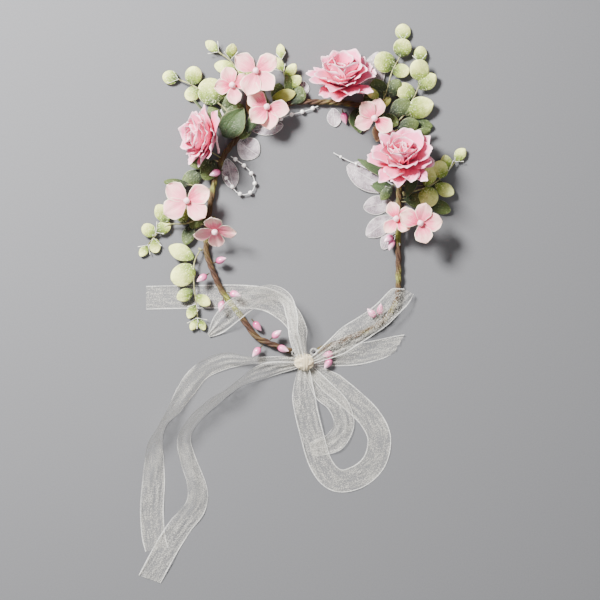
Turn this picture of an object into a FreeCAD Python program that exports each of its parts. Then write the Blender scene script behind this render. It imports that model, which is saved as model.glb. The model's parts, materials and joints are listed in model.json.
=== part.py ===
import FreeCAD, Part
import math
import os

from FreeCAD import Placement, Rotation, Vector

# Flower crown lying flat. Millimetres. The origin is the centre of the head opening, on the surface that
# the crown lies on. +Z is up out of that surface, +Y points to the flowered front, and the bow is at -Y.

# ---- driving dimensions --------------------------------------------------------------------------
BAND_RADIUS = 2.6            # outside of the tape wrap
CORE_RADIUS = 0.9            # steel wire inside the wrap
BAND_HEIGHT = 3.6            # centre of the band above the surface
EYELET_RADIUS = 2.6          # loop at each end of the wire, for the ribbon
EYELET_NECK = 1.2            # bare wire between the wrap and the loop
WIRE_RADIUS = 0.6            # stalks of the sprigs, leaves and buds
HINGE_RADIUS = 1.0           # turn of stem wire that each flower bends at
HINGE_LENGTH = 4.0
PETAL_THICKNESS = 0.6
LEAF_THICKNESS = 0.7
ORGANZA_THICKNESS = 0.4
RIBBON_WIDTH = 20.0
RIBBON_THICKNESS = 0.3
RIBBON_CLEARANCE = 0.1       # least space under a ribbon
PEARL_RADIUS = 1.9
SMALL_PEARL_RADIUS = 1.3
LINE_RADIUS = 0.35           # clear line that the pearls are threaded on
LEAF_GAP = 0.2               # from a stalk's surface to the foot of a leaf

# The band's centre line: from the left end at the bow, up the left side, round the front, down the right.
BAND_ROUTE = [
    (-9, -106.5), (-26, -100), (-37, -95), (-44, -87), (-52, -76), (-67, -56), (-74, -41), (-80, -25),
    (-80.5, -8), (-78, 14), (-74, 36), (-68.5, 54), (-59, 69), (-44, 84), (-28, 97), (-10, 104), (14, 105),
    (37, 104), (57, 99), (71, 86), (78.5, 69), (82, 45), (82.5, 20), (82, -11.5),
]
ARM_ROUTE = [(82, -20.5), (82, -53), (78, -69), (65, -84), (36, -97), (14, -105.5)]
ARM_PIVOT = (82, -16)
ARM_PIVOT_RADIUS = 1.6


# ---- shapes that repeat --------------------------------------------------------------------------
def direction(azimuth, pitch=0.0):
    """Unit vector at an azimuth round Z, raised by a pitch, both in degrees."""
    turn, rise = math.radians(azimuth), math.radians(pitch)
    return Vector(math.cos(turn) * math.cos(rise), math.sin(turn) * math.cos(rise), math.sin(rise))


def pose(shape, base, azimuth, tilt):
    """Lean a shape built along +Z by a tilt towards an azimuth, and stand it on a base point."""
    lean = Rotation(Vector(0, 0, 1), azimuth) * Rotation(Vector(0, 1, 0), tilt)
    shape.Placement = Placement(Vector(*base), lean) * shape.Placement
    return shape


def clear_of(shape, others):
    """The shape with a close-fitting seat cut for each neighbour that it touches."""
    for other in others:
        if shape.BoundBox.intersect(other.BoundBox) and shape.common(other).Volume > 0:
            shape = max(shape.cut(other).Solids, key=lambda solid: solid.Volume)
    return shape


def clear_in_turn(solids, others=()):
    """Each solid cleared of the others and of the solids before it."""
    cleared = []
    for solid in solids:
        cleared.append(clear_of(solid, list(others) + cleared))
    return cleared


def rounded_path(points):
    """Straight runs through the points, joined by tangent arcs as large as the runs allow."""
    points = [Vector(*p) for p in points]
    edges = []
    start = points[0]
    for before, corner, after in zip(points, points[1:], points[2:]):
        into = (corner - before).normalize()
        away = (after - corner).normalize()
        turn = into.getAngle(away)
        reach = 0.45 * min(before.distanceToPoint(corner), corner.distanceToPoint(after))
        radius = reach / math.tan(turn / 2)
        bisector = (away - into).normalize()
        centre = corner + bisector * (radius / math.cos(turn / 2))
        first = corner - into * reach
        last = corner + away * reach
        edges.append(Part.LineSegment(start, first).toShape())
        edges.append(Part.Arc(first, centre - bisector * radius, last).toShape())
        start = last
    edges.append(Part.LineSegment(start, points[-1]).toShape())
    return Part.Wire(edges)


def tube(points, radius, bore=0.0):
    """Round bar, or a pipe round a bore, along a rounded path."""
    path = rounded_path(points)
    start = Vector(*points[0])
    along = Vector(*points[1]) - start
    outer = path.makePipeShell([Part.Wire(Part.makeCircle(radius, start, along))], True, False)
    if bore:
        outer = outer.cut(path.makePipeShell([Part.Wire(Part.makeCircle(bore, start, along))], True, False))
    return outer


def rod(start, end, radius):
    start, end = Vector(*start), Vector(*end)
    return Part.makeCylinder(radius, start.distanceToPoint(end), start, end - start)


def rosette(lobe_angles, radius, notch_radius):
    """Face of a die-cut whorl: one round lobe at each angle, and a notch midway between neighbours."""
    angles = list(lobe_angles)
    following = angles[1:] + [angles[0] + 360]
    notches = [(a + b) / 2 for a, b in zip(angles, following)]
    arcs = []
    for angle, before, after in zip(angles, [notches[-1] - 360] + notches, notches):
        first, tip, last = (
            direction(before) * notch_radius, direction(angle) * radius, direction(after) * notch_radius
        )
        arcs.append(Part.Arc(first, tip, last).toShape())
    return Part.Face(Part.Wire(arcs))


def whorl(lobe_angles, radius, notch_radius, pitch, bore, rise=0.0):
    """A ring of petals cut from one piece: a dished disc of the given pitch, trimmed to a rosette."""
    slope = math.tan(math.radians(pitch))
    wall = PETAL_THICKNESS / math.cos(math.radians(pitch))
    outline = [
        Vector(bore, 0, 0), Vector(radius + 1, 0, (radius + 1 - bore) * slope),
        Vector(radius + 1, 0, (radius + 1 - bore) * slope + wall), Vector(bore, 0, wall), Vector(bore, 0, 0),
    ]
    dish = Part.Face(Part.makePolygon(outline)).revolve(Vector(0, 0, 0), Vector(0, 0, 1), 360)
    height = (radius + 1) * slope + wall
    trim = rosette(lobe_angles, radius, notch_radius).extrude(Vector(0, 0, height + 2))
    trim.translate(Vector(0, 0, -1))
    cut = dish.common(trim).Solids[0]
    cut.translate(Vector(0, 0, rise))
    return cut


def flat_whorl(lobe_angles, reach, lobe_width, pitch, bore):
    """Four separate-looking petals cut from one piece: slightly raised oval plates round a small disc."""
    length = reach - bore
    petals = []
    for angle in lobe_angles:
        oval = Part.Face(Part.Wire(Part.Ellipse(Vector(0, 0, 0), length / 2, lobe_width / 2).toShape()))
        petal = oval.extrude(Vector(0, 0, PETAL_THICKNESS))
        petal.Placement = (
            Placement(Vector(0, 0, 0), Rotation(Vector(0, 0, 1), angle))
            * Placement(Vector(bore, 0, 0), Rotation(Vector(0, 1, 0), -pitch))
            * Placement(Vector(length / 2, 0, 0), Rotation())
        )
        petals.append(petal)
    disc = Part.makeCylinder(bore + 1.6, PETAL_THICKNESS)
    cut = disc.fuse(petals).cut(Part.makeCylinder(bore, 20, Vector(0, 0, -10)))
    cut.translate(Vector(0, 0, 0.2))
    return cut.Solids[0]


def blade(base, azimuth, pitch, roll, length, width, thickness, pointed=False):
    """A leaf plate from its foot outwards: an ellipse, or two arcs that meet in a point at each end."""
    half_length, half_width = length / 2, width / 2
    if pointed:
        foot, tip = Vector(0, 0, 0), Vector(length, 0, 0)
        edges = [
            Part.Arc(foot, Vector(half_length, half_width, 0), tip).toShape(),
            Part.Arc(tip, Vector(half_length, -half_width, 0), foot).toShape(),
        ]
    elif length >= width:
        edges = [Part.Ellipse(Vector(half_length, 0, 0), half_length, half_width).toShape()]
    else:
        oval = Part.Ellipse(Vector(0, 0, 0), half_width, half_length).toShape()
        oval.Placement = Placement(Vector(half_length, 0, 0), Rotation(Vector(0, 0, 1), 90))
        edges = [oval]
    plate = Part.Face(Part.Wire(edges)).extrude(Vector(0, 0, thickness))
    plate.translate(Vector(WIRE_RADIUS + LEAF_GAP, 0, -thickness / 2))
    turn = Rotation(Vector(0, 0, 1), azimuth) * Rotation(Vector(0, 1, 0), -pitch)
    plate.Placement = Placement(Vector(*base), turn * Rotation(Vector(1, 0, 0), roll)) * plate.Placement
    return plate


def ellipsoid(centre, azimuth, pitch, half_length, half_width, half_height=None):
    ball = Part.makeSphere(1.0)
    stretch = FreeCAD.Matrix()
    stretch.scale(Vector(half_length, half_width, half_height or half_width))
    ball = ball.transformGeometry(stretch)
    turn = Rotation(Vector(0, 0, 1), azimuth) * Rotation(Vector(0, 1, 0), -pitch)
    ball.Placement = Placement(Vector(*centre), turn)
    return ball


def smooth(stations, steps=3):
    """Stations with steps intervals between each pair, on a Catmull-Rom spline through all their values."""
    padded = [stations[0]] + list(stations) + [stations[-1]]
    dense = []
    for p0, p1, p2, p3 in zip(padded, padded[1:], padded[2:], padded[3:]):
        for step in range(steps):
            t = step / steps
            dense.append([
                0.5 * (2 * b + (c - a) * t + (2 * a - 5 * b + 4 * c - d) * t ** 2 + (3 * b - a - 3 * c + d) * t ** 3)
                for a, b, c, d in zip(p0, p1, p2, p3)
            ])
    return dense + [list(stations[-1])]


def ribbon(stations):
    """A ribbon of constant width through stations of (x, y, clearance, across, lean, gather).

    across is the azimuth of its width, lean turns the width up on edge, both in degrees, and gather is the
    part of its full width that it keeps where it is pinched. The clearance is that under its lower edge.
    """
    rows = []
    for x, y, clearance, across, lean, gather in smooth(stations):
        half = direction(across, lean) * (RIBBON_WIDTH / 2 * gather)
        centre = Vector(x, y, max(clearance, RIBBON_CLEARANCE) + abs(half.z) + RIBBON_THICKNESS / 2)
        rows.append((centre, half))
    sections = []
    for index, (centre, half) in enumerate(rows):
        along = rows[min(index + 1, len(rows) - 1)][0] - rows[max(index - 1, 0)][0]
        skin = along.cross(half).normalize() * (RIBBON_THICKNESS / 2)
        sections.append([centre + half + skin, centre + half - skin, centre - half - skin, centre - half + skin])
    triangles = []
    for near, far in zip(sections, sections[1:]):
        # both broad faces are split along the same diagonal, so they stay one thickness apart in a twist
        triangles += [(near[0], near[1], far[1]), (near[0], far[1], far[0])]
        triangles += [(near[1], near[2], far[2]), (near[1], far[2], far[1])]
        triangles += [(near[2], near[3], far[2]), (near[3], far[3], far[2])]
        triangles += [(near[3], near[0], far[3]), (near[0], far[0], far[3])]
    for end in (sections[0], sections[-1]):
        triangles.append((end[0], end[1], end[2]))
        triangles.append((end[0], end[2], end[3]))
    faces = [Part.Face(Part.makePolygon([*corners, corners[0]])) for corners in triangles]
    shell = Part.makeShell(faces)
    shell.sewShape()
    solid = Part.Solid(shell)
    if solid.Volume < 0:
        solid.reverse()
    return solid


def at_band_height(route):
    return [(x, y, BAND_HEIGHT) for x, y in route]


# ---- band ----------------------------------------------------------------------------------------
def eyelet(end, before):
    """Wire loop on a short neck, in line with the end of a core wire."""
    end = Vector(*end)
    outward = (end - Vector(*before)).normalize()
    neck = rod(end, end + outward * EYELET_NECK, CORE_RADIUS)
    centre = end + outward * (EYELET_NECK + EYELET_RADIUS)
    return [neck, Part.makeTorus(EYELET_RADIUS, CORE_RADIUS, centre, Vector(0, 0, 1))]


def band():
    route = at_band_height(BAND_ROUTE)
    core = tube(route, CORE_RADIUS)
    return {
        "band_core_wire": [core.fuse(eyelet(route[0], route[1]))],
        "band_tape_wrap": [tube(route, BAND_RADIUS, CORE_RADIUS)],
    }


def right_arm():
    """The lower right arm bends at the root of its pivot turn when the crown is opened to a larger head."""
    route = at_band_height(ARM_ROUTE)
    pivot = Part.makeCylinder(ARM_PIVOT_RADIUS, 4.0, Vector(*ARM_PIVOT, BAND_HEIGHT - 2.0))
    neck = rod((*ARM_PIVOT, BAND_HEIGHT), route[0], CORE_RADIUS)
    core = tube(route, CORE_RADIUS).fuse([*eyelet(route[-1], route[-2]), pivot, neck])
    return {
        "right_arm_core_wire": [core],
        "right_arm_tape_wrap": [tube(route, BAND_RADIUS, CORE_RADIUS)],
    }


# ---- flowers -------------------------------------------------------------------------------------
# name: base, azimuth and tilt of its axis, radii and pitches of its whorls, hinge point, hinge azimuth
PEONIES = {
    "peony_top": ((34, 117, 12.5), 90, 42, (30, 21, 10), (22, 43, 64), (34, 109.2, 5.0), 0),
    "peony_right": ((84, 50, 17), 88, 38, (30, 21, 10), (20, 42, 64), (86.8, 42, 6.2), 0),
    "peony_left": ((-73.5, 73, 17), 180, 60, (24, 17, 8), (36, 52, 70), (-70, 63, 8.0), 90),
}
PEONY_BORE = 1.5
PEONY_LOBES = (7, 7, 6)
PEONY_RISES = (0.6, 2.0, 3.4)
PEONY_NOTCH = 0.66
HEART_RADIUS = 3.6
HEART_RISE = 14.0


def peony(name):
    base, azimuth, tilt, radii, pitches, hinge, hinge_azimuth = PEONIES[name]
    nodes = {}
    whorls = zip(("outer", "middle", "inner"), PEONY_LOBES, radii, pitches, PEONY_RISES)
    for row, (layer, lobes, radius, pitch, rise) in enumerate(whorls):
        angles = [360 / lobes * (k + 0.5 * row) for k in range(lobes)]
        petals = whorl(angles, radius, radius * PEONY_NOTCH, pitch, PEONY_BORE + 0.05, rise)
        nodes[f"{name}_{layer}_petals"] = [pose(petals, base, azimuth, tilt)]
    calyx = Part.makeCone(PEONY_BORE, 5.0, 3.4, Vector(0, 0, -3.0))
    peg = Part.makeCylinder(PEONY_BORE, HEART_RISE, Vector(0, 0, 0))
    heart = ellipsoid((0, 0, HEART_RISE), 0, 90, HEART_RADIUS * 1.3, HEART_RADIUS)
    flower = pose(calyx.fuse([peg, heart]), base, azimuth, tilt)
    along = direction(hinge_azimuth) * (HINGE_LENGTH / 2)
    turn = rod(Vector(*hinge) - along, Vector(*hinge) + along, HINGE_RADIUS)
    foot = Vector(*base) - direction(azimuth, 90 - tilt) * 2.0
    nodes[f"{name}_heart"] = [flower.fuse([rod(hinge, foot, 0.9), turn])]
    return nodes


# name: base, azimuth and tilt of its axis, petal length, angles of its four petals, stem foot on the band
BLOSSOMS = {
    "blossom_top": ((-38, 128, 24), 0, 0, 20, (-48, 35, 145, 250), (-27.5, 101.0, 7.2)),
    "blossom_top_back": ((-58, 117, 17), 0, 0, 15, (20, 110, 190, 280), (-49, 84.5, 4.5)),
    "blossom_top_inner": ((-29, 99, 15.5), 0, 0, 18, (-82, -8, 145, 225), (-31, 87.3, 4.0)),
    "blossom_left": ((-96, 20, 19), 0, 0, 20, (-43, 27, 141, 211), (-81.5, 15, 7.4)),
    "blossom_left_side": ((-72.5, -4, 20), 270, 50, 17, (5, 95, 185, 275), (-74.2, 6, 5.2)),
    "blossom_top_right": ((61, 89, 19), 0, 0, 16, (-35, 75, 130, 200), (66.5, 84.5, 5.6)),
    "blossom_right_inner": ((80, 5, 16), 170, 12, 14, (60, 150, 215, 300), (85.6, 12, 5.2)),
    "blossom_right": ((99, 1, 24), 0, 0, 17, (-75, 5, 75, 155), (85.6, -3, 6.2)),
}
BLOSSOM_PITCH = 9
PETAL_WIDTH_SHARE = 0.88
BLOSSOM_BORE = 0.9


def blossom(name):
    base, azimuth, tilt, reach, angles, foot = BLOSSOMS[name]
    petals = flat_whorl(angles, reach, reach * PETAL_WIDTH_SHARE, BLOSSOM_PITCH, BLOSSOM_BORE + 0.05)
    sepal = Part.makeCone(0.9, 2.2, 2.4, Vector(0, 0, -2.4))
    throat = Part.makeCylinder(BLOSSOM_BORE, 1.6, Vector(0, 0, 0))
    pip = Part.makeSphere(1.8, Vector(0, 0, 3.0))
    head = pose(sepal.fuse([throat, pip]), base, azimuth, tilt)
    under = Vector(*base) - direction(azimuth, 90 - tilt) * 1.5
    stem = rod(foot, under, WIRE_RADIUS + 0.2)
    along = direction(HINGE_AZIMUTHS.get(name, 0)) * (HINGE_LENGTH / 2)
    turn = rod(Vector(*foot) - along, Vector(*foot) + along, HINGE_RADIUS)
    return {
        f"{name}_petals": [pose(petals, base, azimuth, tilt)],
        f"{name}_stem": [head.fuse([stem, turn])],
    }


# Azimuth of the axis that a blossom's stem bends about. A blossom that isn't here bends about X.
HINGE_AZIMUTHS = {
    "blossom_left": 80, "blossom_left_side": 80, "blossom_right": 90, "blossom_right_inner": 90,
    "blossom_top_right": 135, "blossom_top_back": 40, "blossom_top": 35, "blossom_top_inner": 35,
}


# ---- eucalyptus sprigs ---------------------------------------------------------------------------
# name: (stalk route from the band outwards,
#        leaves of (foot on the stalk, azimuth, pitch, roll, length, width))
SPRIGS = {
    "sprig_top_left": (
        [(-54.5, 79.5, 4.5), (-62, 97, 5.5), (-76, 108, 6), (-92, 119, 5), (-104, 124, 4)],
        [((-69.5, 103, 6), 125, 5, 5, 21, 21), ((-85, 115, 5.5), 200, -5, 0, 13, 11),
         ((-91, 118.5, 5), 95, 10, 0, 14, 13), ((-104, 124, 4), 165, 0, 0, 12, 11)],
    ),
    "sprig_top": (
        [(-36.5, 95.5, 5), (-44, 112, 5.5), (-53, 130, 6), (-60, 140, 6), (-70, 147, 5)],
        [((-54.5, 132, 6), 165, 0, 10, 17, 11), ((-60, 140, 6), 80, 25, 20, 12, 9),
         ((-48, 120, 5.8), 85, 5, 10, 22, 12), ((-70, 147, 5), 140, 5, 0, 12, 8)],
    ),
    "sprig_left": (
        [(-83.5, 8, 5), (-98, 1, 5.5), (-112, 2, 5.5), (-122, -6, 4.5), (-130, -16, 3.5)],
        [((-98, 1, 5.5), 110, 8, 0, 17, 13), ((-112, 2, 5.5), 125, 5, 0, 16, 12),
         ((-112, 2, 5.5), 215, 0, 0, 12, 10), ((-122, -6, 4.5), 165, 8, 0, 12, 10),
         ((-125, -10, 4.2), 275, 0, 0, 11, 9), ((-130, -16, 3.5), 235, 0, 0, 10, 7)],
    ),
    "sprig_lower_left": (
        [(-85.5, -20, 5), (-91, -30, 6), (-91.5, -48, 6), (-89, -66, 5), (-88, -78, 4)],
        [((-90, -28, 5.9), 155, 5, 10, 21, 13), ((-91.5, -33, 6), 225, 12, 0, 20, 17),
         ((-91, -54, 5.8), 210, 5, 0, 14, 10), ((-90, -58, 5.6), 320, 5, 0, 13, 9),
         ((-89, -66, 5), 240, 0, 0, 12, 8), ((-88, -78, 4), 300, 0, 0, 10, 6), ((-88, -78, 4), 240, 0, 0, 10, 6)],
    ),
    "sprig_top_right": (
        [(65.5, 99.5, 5), (72, 113, 6), (76, 130, 6), (84, 144, 5.5), (86, 157, 4.5)],
        [((71, 111, 6), 165, 6, 0, 14, 12), ((76, 130, 6), 118, 8, 10, 17, 16), ((76, 130, 6), 10, 5, 0, 13, 11),
         ((83, 142, 5.6), 75, 18, 0, 14, 14), ((86, 157, 4.5), 90, 0, 0, 12, 12)],
    ),
    "sprig_upper_right": (
        [(76.5, 84.5, 5), (87, 93, 6), (95, 108, 6), (101, 122, 6), (100, 138, 5)],
        [((87, 93, 6), 25, 10, 10, 23, 17), ((95, 108, 6), 140, 5, 0, 15, 13), ((98, 115, 6), 40, 6, 0, 17, 13),
         ((101, 122, 6), 100, 22, 0, 16, 15), ((100, 138, 5), 85, 0, 0, 12, 10)],
    ),
    "sprig_right": (
        [(86.5, 27, 5), (99, 30, 6), (112, 35, 6), (123, 45, 5.5), (130, 54, 4.5)],
        [((99, 30, 6), 330, 5, 0, 17, 14), ((105, 32, 6), 75, 5, 0, 16, 12), ((112, 35, 6), 335, 6, 0, 16, 11),
         ((117, 39, 5.8), 85, 10, 0, 14, 12), ((124, 46, 5.4), 100, 5, 0, 12, 9), ((130, 54, 4.5), 55, 0, 0, 12, 9)],
    ),
    "sprig_centre": (
        [(-11, 108, 4.5), (-12, 118, 6), (-15, 130, 6), (-17, 140, 5)],
        [((-12, 116, 6), 45, 10, 0, 13, 9), ((-13.5, 124, 6), 60, 12, 0, 13, 8),
         ((-15, 130, 6), 120, 8, 0, 12, 7), ((-17, 140, 5), 95, 0, 0, 12, 7)],
    ),
}


def sprig(name):
    """Stalk wire with moulded leaves, and the turn of wire beside the band that it bends at."""
    route, leaves = SPRIGS[name]
    start = Vector(*route[0])
    flat = Vector(route[1][0] - route[0][0], route[1][1] - route[0][1], 0).normalize()
    across = Vector(-flat.y, flat.x, 0) * (HINGE_LENGTH / 2)
    turn = rod(start - across, start + across, HINGE_RADIUS)
    stalk = tube(route, WIRE_RADIUS).fuse(turn)
    blades = [
        blade(foot, azimuth, pitch, roll, length, width, LEAF_THICKNESS)
        for foot, azimuth, pitch, roll, length, width in leaves
    ]
    return {name: clear_in_turn([stalk] + blades)}


# ---- leaves that stay on the band ----------------------------------------------------------------
# name: leaves of (foot beside the band, azimuth, pitch, roll, length, width)
ROSE_LEAVES = {
    "rose_leaves_left": [((-66, 74, 6.4), 55, 14, 0, 30, 21), ((-71.5, 79, 9), 122, 12, 75, 32, 12)],
    "rose_leaves_right": [((45, 100.8, 3.5), 285, 0, 0, 22, 15), ((78, 40, 3.5), 150, 3, 20, 34, 10),
                          ((79, 32, 1.9), 172, 0, 0, 20, 11)],
}
ORGANZA_LEAVES = {
    "organza_leaves_left": [((-64, 58, 0.5), 283, 0, 0, 26, 14), ((-57, 66, 0.5), 0, 0, 0, 22, 19),
                            ((-43, 81, 0.5), 10, 0, 0, 27, 13)],
    "organza_leaves_right": [((76, 30, 1.3), 151, 0, 0, 42, 23), ((78, 20.5, 0.5), 192, 0, 0, 25, 16),
                             ((78, 9, 0.5), 218, 0, 0, 28, 16), ((78, -1, 0.5), 246, 0, 0, 20, 11)],
    "organza_leaves_top": [((56, 104, 0.8), 78, 0, 0, 44, 20), ((27, 101, 0.5), 275, 0, 0, 16, 12),
                           ((-52, 80.5, 0.5), 130, 0, 0, 24, 13), ((-1, 108.5, 0.5), 80, 0, 0, 14, 12)],
}


def fixed_leaves(leaves, thickness, pointed, neighbours):
    """Leaf plates that are wound in with the tape, each seated against the band."""
    plates = [
        blade(foot, azimuth, pitch, roll, length, width, thickness, pointed)
        for foot, azimuth, pitch, roll, length, width in leaves
    ]
    return clear_in_turn(plates, neighbours)


# ---- buds ----------------------------------------------------------------------------------------
# (foot, azimuth, pitch) of each bud: its stalk starts at the foot
BAND_BUDS = [
    ((-66.5, 47.5, 7.0), 205, 20), ((34, 98.8, 3.6), 285, 0), ((79, -7, 5.4), 215, 25), ((79, -9, 4.2), 250, 10),
    ((-74.5, -32, 5.6), 20, 25), ((-78, -40, 6.8), 215, 15), ((-63, -56, 5.6), 345, 20), ((-65.5, -61, 6.0), 255, 15),
    ((-42.5, -79, 4.6), 310, 0), ((-26.5, -96.5, 5.6), 40, 20), ((-22.5, -101.3, 7.6), 340, 15),
    ((-33, -101, 5.0), 230, 10),
]
ARM_BUDS = [((66, -78.8, 3.6), 85, 0), ((65, -79.6, 3.6), 135, 0), ((30, -107.5, 3.6), 190, 0),
            ((27, -110.5, 3.6), 235, 0)]
BUD_LENGTH = 10.5
BUD_WIDTH = 6.0
BUD_STALK = 3.0


def buds(places):
    solids = []
    for foot, azimuth, pitch in places:
        along = direction(azimuth, pitch)
        centre = Vector(*foot) + along * (BUD_STALK + BUD_LENGTH / 2 - 0.6)
        body = ellipsoid(centre, azimuth, pitch, BUD_LENGTH / 2, BUD_WIDTH / 2)
        solids.append(body.fuse(rod(foot, Vector(*foot) + along * (BUD_STALK + 1), 0.5)))
    return solids


TWIG_ROUTE = [(37.5, -99.8, 3.6), (33.5, -103.5, 3.6), (29.5, -109, 3.6)]


# ---- pearl strands -------------------------------------------------------------------------------
# name: (route of the line, radius of its pearls)
STRANDS = {
    "left": ([(-67, 44, 3.2), (-60.5, 37, 3.0), (-56.5, 29, 3.0), (-49, 25.5, 3.0), (-41, 29, 3.0),
              (-39, 37, 3.0), (-43, 46, 3.0), (-50, 52.5, 3.0), (-60, 59, 3.4)], PEARL_RADIUS),
    "top": ([(14, 101.5, 3.0), (6, 98, 2.9), (-4, 95.6, 2.8), (-14, 93, 2.8), (-22, 88, 2.8), (-26, 80, 2.8)],
            PEARL_RADIUS),
    "right": ([(77.5, 34.5, 4.2), (64, 43, 4.2), (51, 51, 4.0), (39, 55, 3.6), (27, 62, 3.2)], SMALL_PEARL_RADIUS),
}


def strand(name):
    """A clear line, and one moulded pearl near each corner of its route."""
    route, radius = STRANDS[name]
    path = rounded_path(route)
    line = tube(route, LINE_RADIUS)
    steps = len(route) - 1
    spots = path.discretize(Number=2 * steps + 1)[1:-1:2]
    pearls = [Part.makeSphere(radius, spot) for spot in spots]
    radii = [f"{edge.Curve.Radius:.1f}" for edge in path.Edges if isinstance(edge.Curve, Part.Circle)]
    share = line.Volume / (math.pi * LINE_RADIUS**2 * path.Length)
    print(f"strand {name}: length {path.Length:.1f}, arc radii {', '.join(radii)}, volume share {share:.3f}")
    return {f"pearl_line_{name}": [line], f"pearl_beads_{name}": pearls}


# ---- ribbons -------------------------------------------------------------------------------------
KNOT_CENTRE = (1.3, -116.5, 5.6)
KNOT_HALF = (10.5, 5.4, 5.0)

TAIL_UPPER_FLAT = [
    (-132, -61, 0.1, 90, 0, 1), (-110, -60.5, 0.1, 90, 0, 1), (-80, -60, 0.1, 90, 0, 1),
    (-50, -60, 0.1, 88, 0, 1), (-28, -63, 0.2, 68, 3, 1), (-12, -74, 0.8, 35, 12, 0.95),
    (-3, -88, 4.0, 12, 10, 0.75), (-1, -99, 6.8, 5, 0, 0.55), (0, -109.5, 7.4, 0, 0, 0.5),
]
TAIL_UPPER_OVER = [
    (-79, -93, 1.0, 120, 5, 0.15), (-70, -84, 2.6, 126, 20, 0.8), (-58, -72.5, 7.0, 128, 22, 1),
    (-42, -62, 5.5, 118, 35, 1), (-26, -57, 2.8, 95, 48, 1), (-13, -62, 3.6, 45, 58, 1),
    (-8, -75, 6.6, 12, 62, 1), (-7, -90, 8.8, 6, 50, 0.7), (-4, -101, 9.2, 5, 20, 0.5),
    (-3, -109.5, 8.9, 0, 0, 0.4),
]
TAIL_LOWER_OUTER = [
    (-11, -113, 1.2, 100, 60, 0.5), (-28, -114, 0.8, 95, 62, 0.7), (-48, -113.5, 0.5, 92, 55, 0.8),
    (-66, -114.5, 0.5, 105, 40, 0.9), (-84, -123, 0.4, 138, 38, 1), (-98, -140, 0.4, 158, 42, 1),
    (-108, -156, 0.3, 165, 58, 1), (-118, -170, 0.2, 160, 74, 1), (-124, -187, 0.2, 176, 55, 1),
    (-125, -212, 0.2, 180, 25, 1), (-127, -240, 0.2, 182, 6, 1), (-126, -262, 0.1, 186, 0, 1),
    (-123, -275, 0.1, 190, 0, 1),
]
TAIL_LOWER_INNER = [
    (-11, -120.5, 0.8, 90, 25, 0.45), (-26, -122, 0.6, 96, 40, 0.8), (-42, -127, 0.5, 120, 56, 0.9),
    (-60, -139, 0.3, 132, 72, 1), (-76, -150, 0.3, 136, 68, 1), (-90, -163, 0.3, 146, 62, 1),
    (-99, -180, 0.3, 176, 58, 1), (-95, -200, 0.3, 193, 52, 1), (-88, -222, 0.3, 192, 40, 1),
    (-90, -238, 0.5, 160, 26, 1), (-103, -255, 0.9, 150, 8, 1), (-115, -274, 1.0, 152, 0, 1),
    (-129, -300, 0.8, 160, 0, 1),
]
LOOP_LOWER_OUTER = [
    (-1, -124, 4.6, 180, 0, 0.8), (2, -146, 3.8, 186, 0, 1), (9, -178, 2.6, 192, 0, 1),
    (17, -203, 1.2, 200, 0, 1), (30, -216, 0.3, 245, 0, 1), (48, -213, 0.2, 297, 0, 1),
    (62, -200, 0.2, 330, 0, 1), (66, -180, 0.2, 368, 0, 1), (58, -163, 0.2, 402, 0, 1),
    (44, -149, 0.3, 408, 0, 1), (26, -134, 0.4, 405, 0, 1), (12, -124.5, 0.9, 400, 0, 0.6),
]
LOOP_LOWER_INNER = [
    (4, -125, 2.4, 225, 0, 0.55), (18, -139, 2.2, 220, 0, 0.9), (31, -152, 2.0, 205, 8, 0.9),
    (36, -168, 1.6, 180, 10, 0.9), (29, -182, 1.2, 140, 6, 0.9), (19, -187, 0.9, 115, 0, 0.8),
    (8, -190, 0.6, 100, 0, 0.6),
]
LOOP_RIGHT_UPPER = [
    (17, -111, 7.2, 150, 0, 0.5), (27, -104, 7.2, 135, 0, 0.8), (40, -94, 7.3, 125, 0, 1),
    (54, -85, 7.6, 122, 5, 1), (68, -75, 7.8, 125, 8, 1), (82, -61, 7.0, 132, 8, 1),
    (91, -56, 4.0, 150, 30, 0.6),
]
LOOP_RIGHT_LOWER = [
    (30, -111, 0.2, 80, 0, 0.5), (42, -110, 0.2, 78, 0, 0.9), (58, -107, 0.2, 75, 0, 1),
    (74, -103, 0.2, 68, 0, 1), (83, -100, 0.2, 60, 8, 0.9),
]


def bow_knot():
    """The tied knot, hollowed where the left arm's end and eyelet pass into it."""
    ball = ellipsoid(KNOT_CENTRE, 0, 0, *KNOT_HALF)
    left_hollow = Part.makeCylinder(4.2, 40, Vector(-12, -109, -10))
    return {"bow_knot": [ball.cut(left_hollow)]}


def ribbons():
    nodes = bow_knot()
    nodes["bow_loops_lower"] = [ribbon(LOOP_LOWER_OUTER), ribbon(LOOP_LOWER_INNER)]
    nodes["bow_loops_right"] = [ribbon(LOOP_RIGHT_UPPER), ribbon(LOOP_RIGHT_LOWER)]
    nodes["ribbon_tail_upper_flat"] = [ribbon(TAIL_UPPER_FLAT)]
    nodes["ribbon_tail_upper_over"] = [ribbon(TAIL_UPPER_OVER)]
    nodes["ribbon_tail_lower_outer"] = [ribbon(TAIL_LOWER_OUTER)]
    nodes["ribbon_tail_lower_inner"] = [ribbon(TAIL_LOWER_INNER)]
    return nodes


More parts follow.
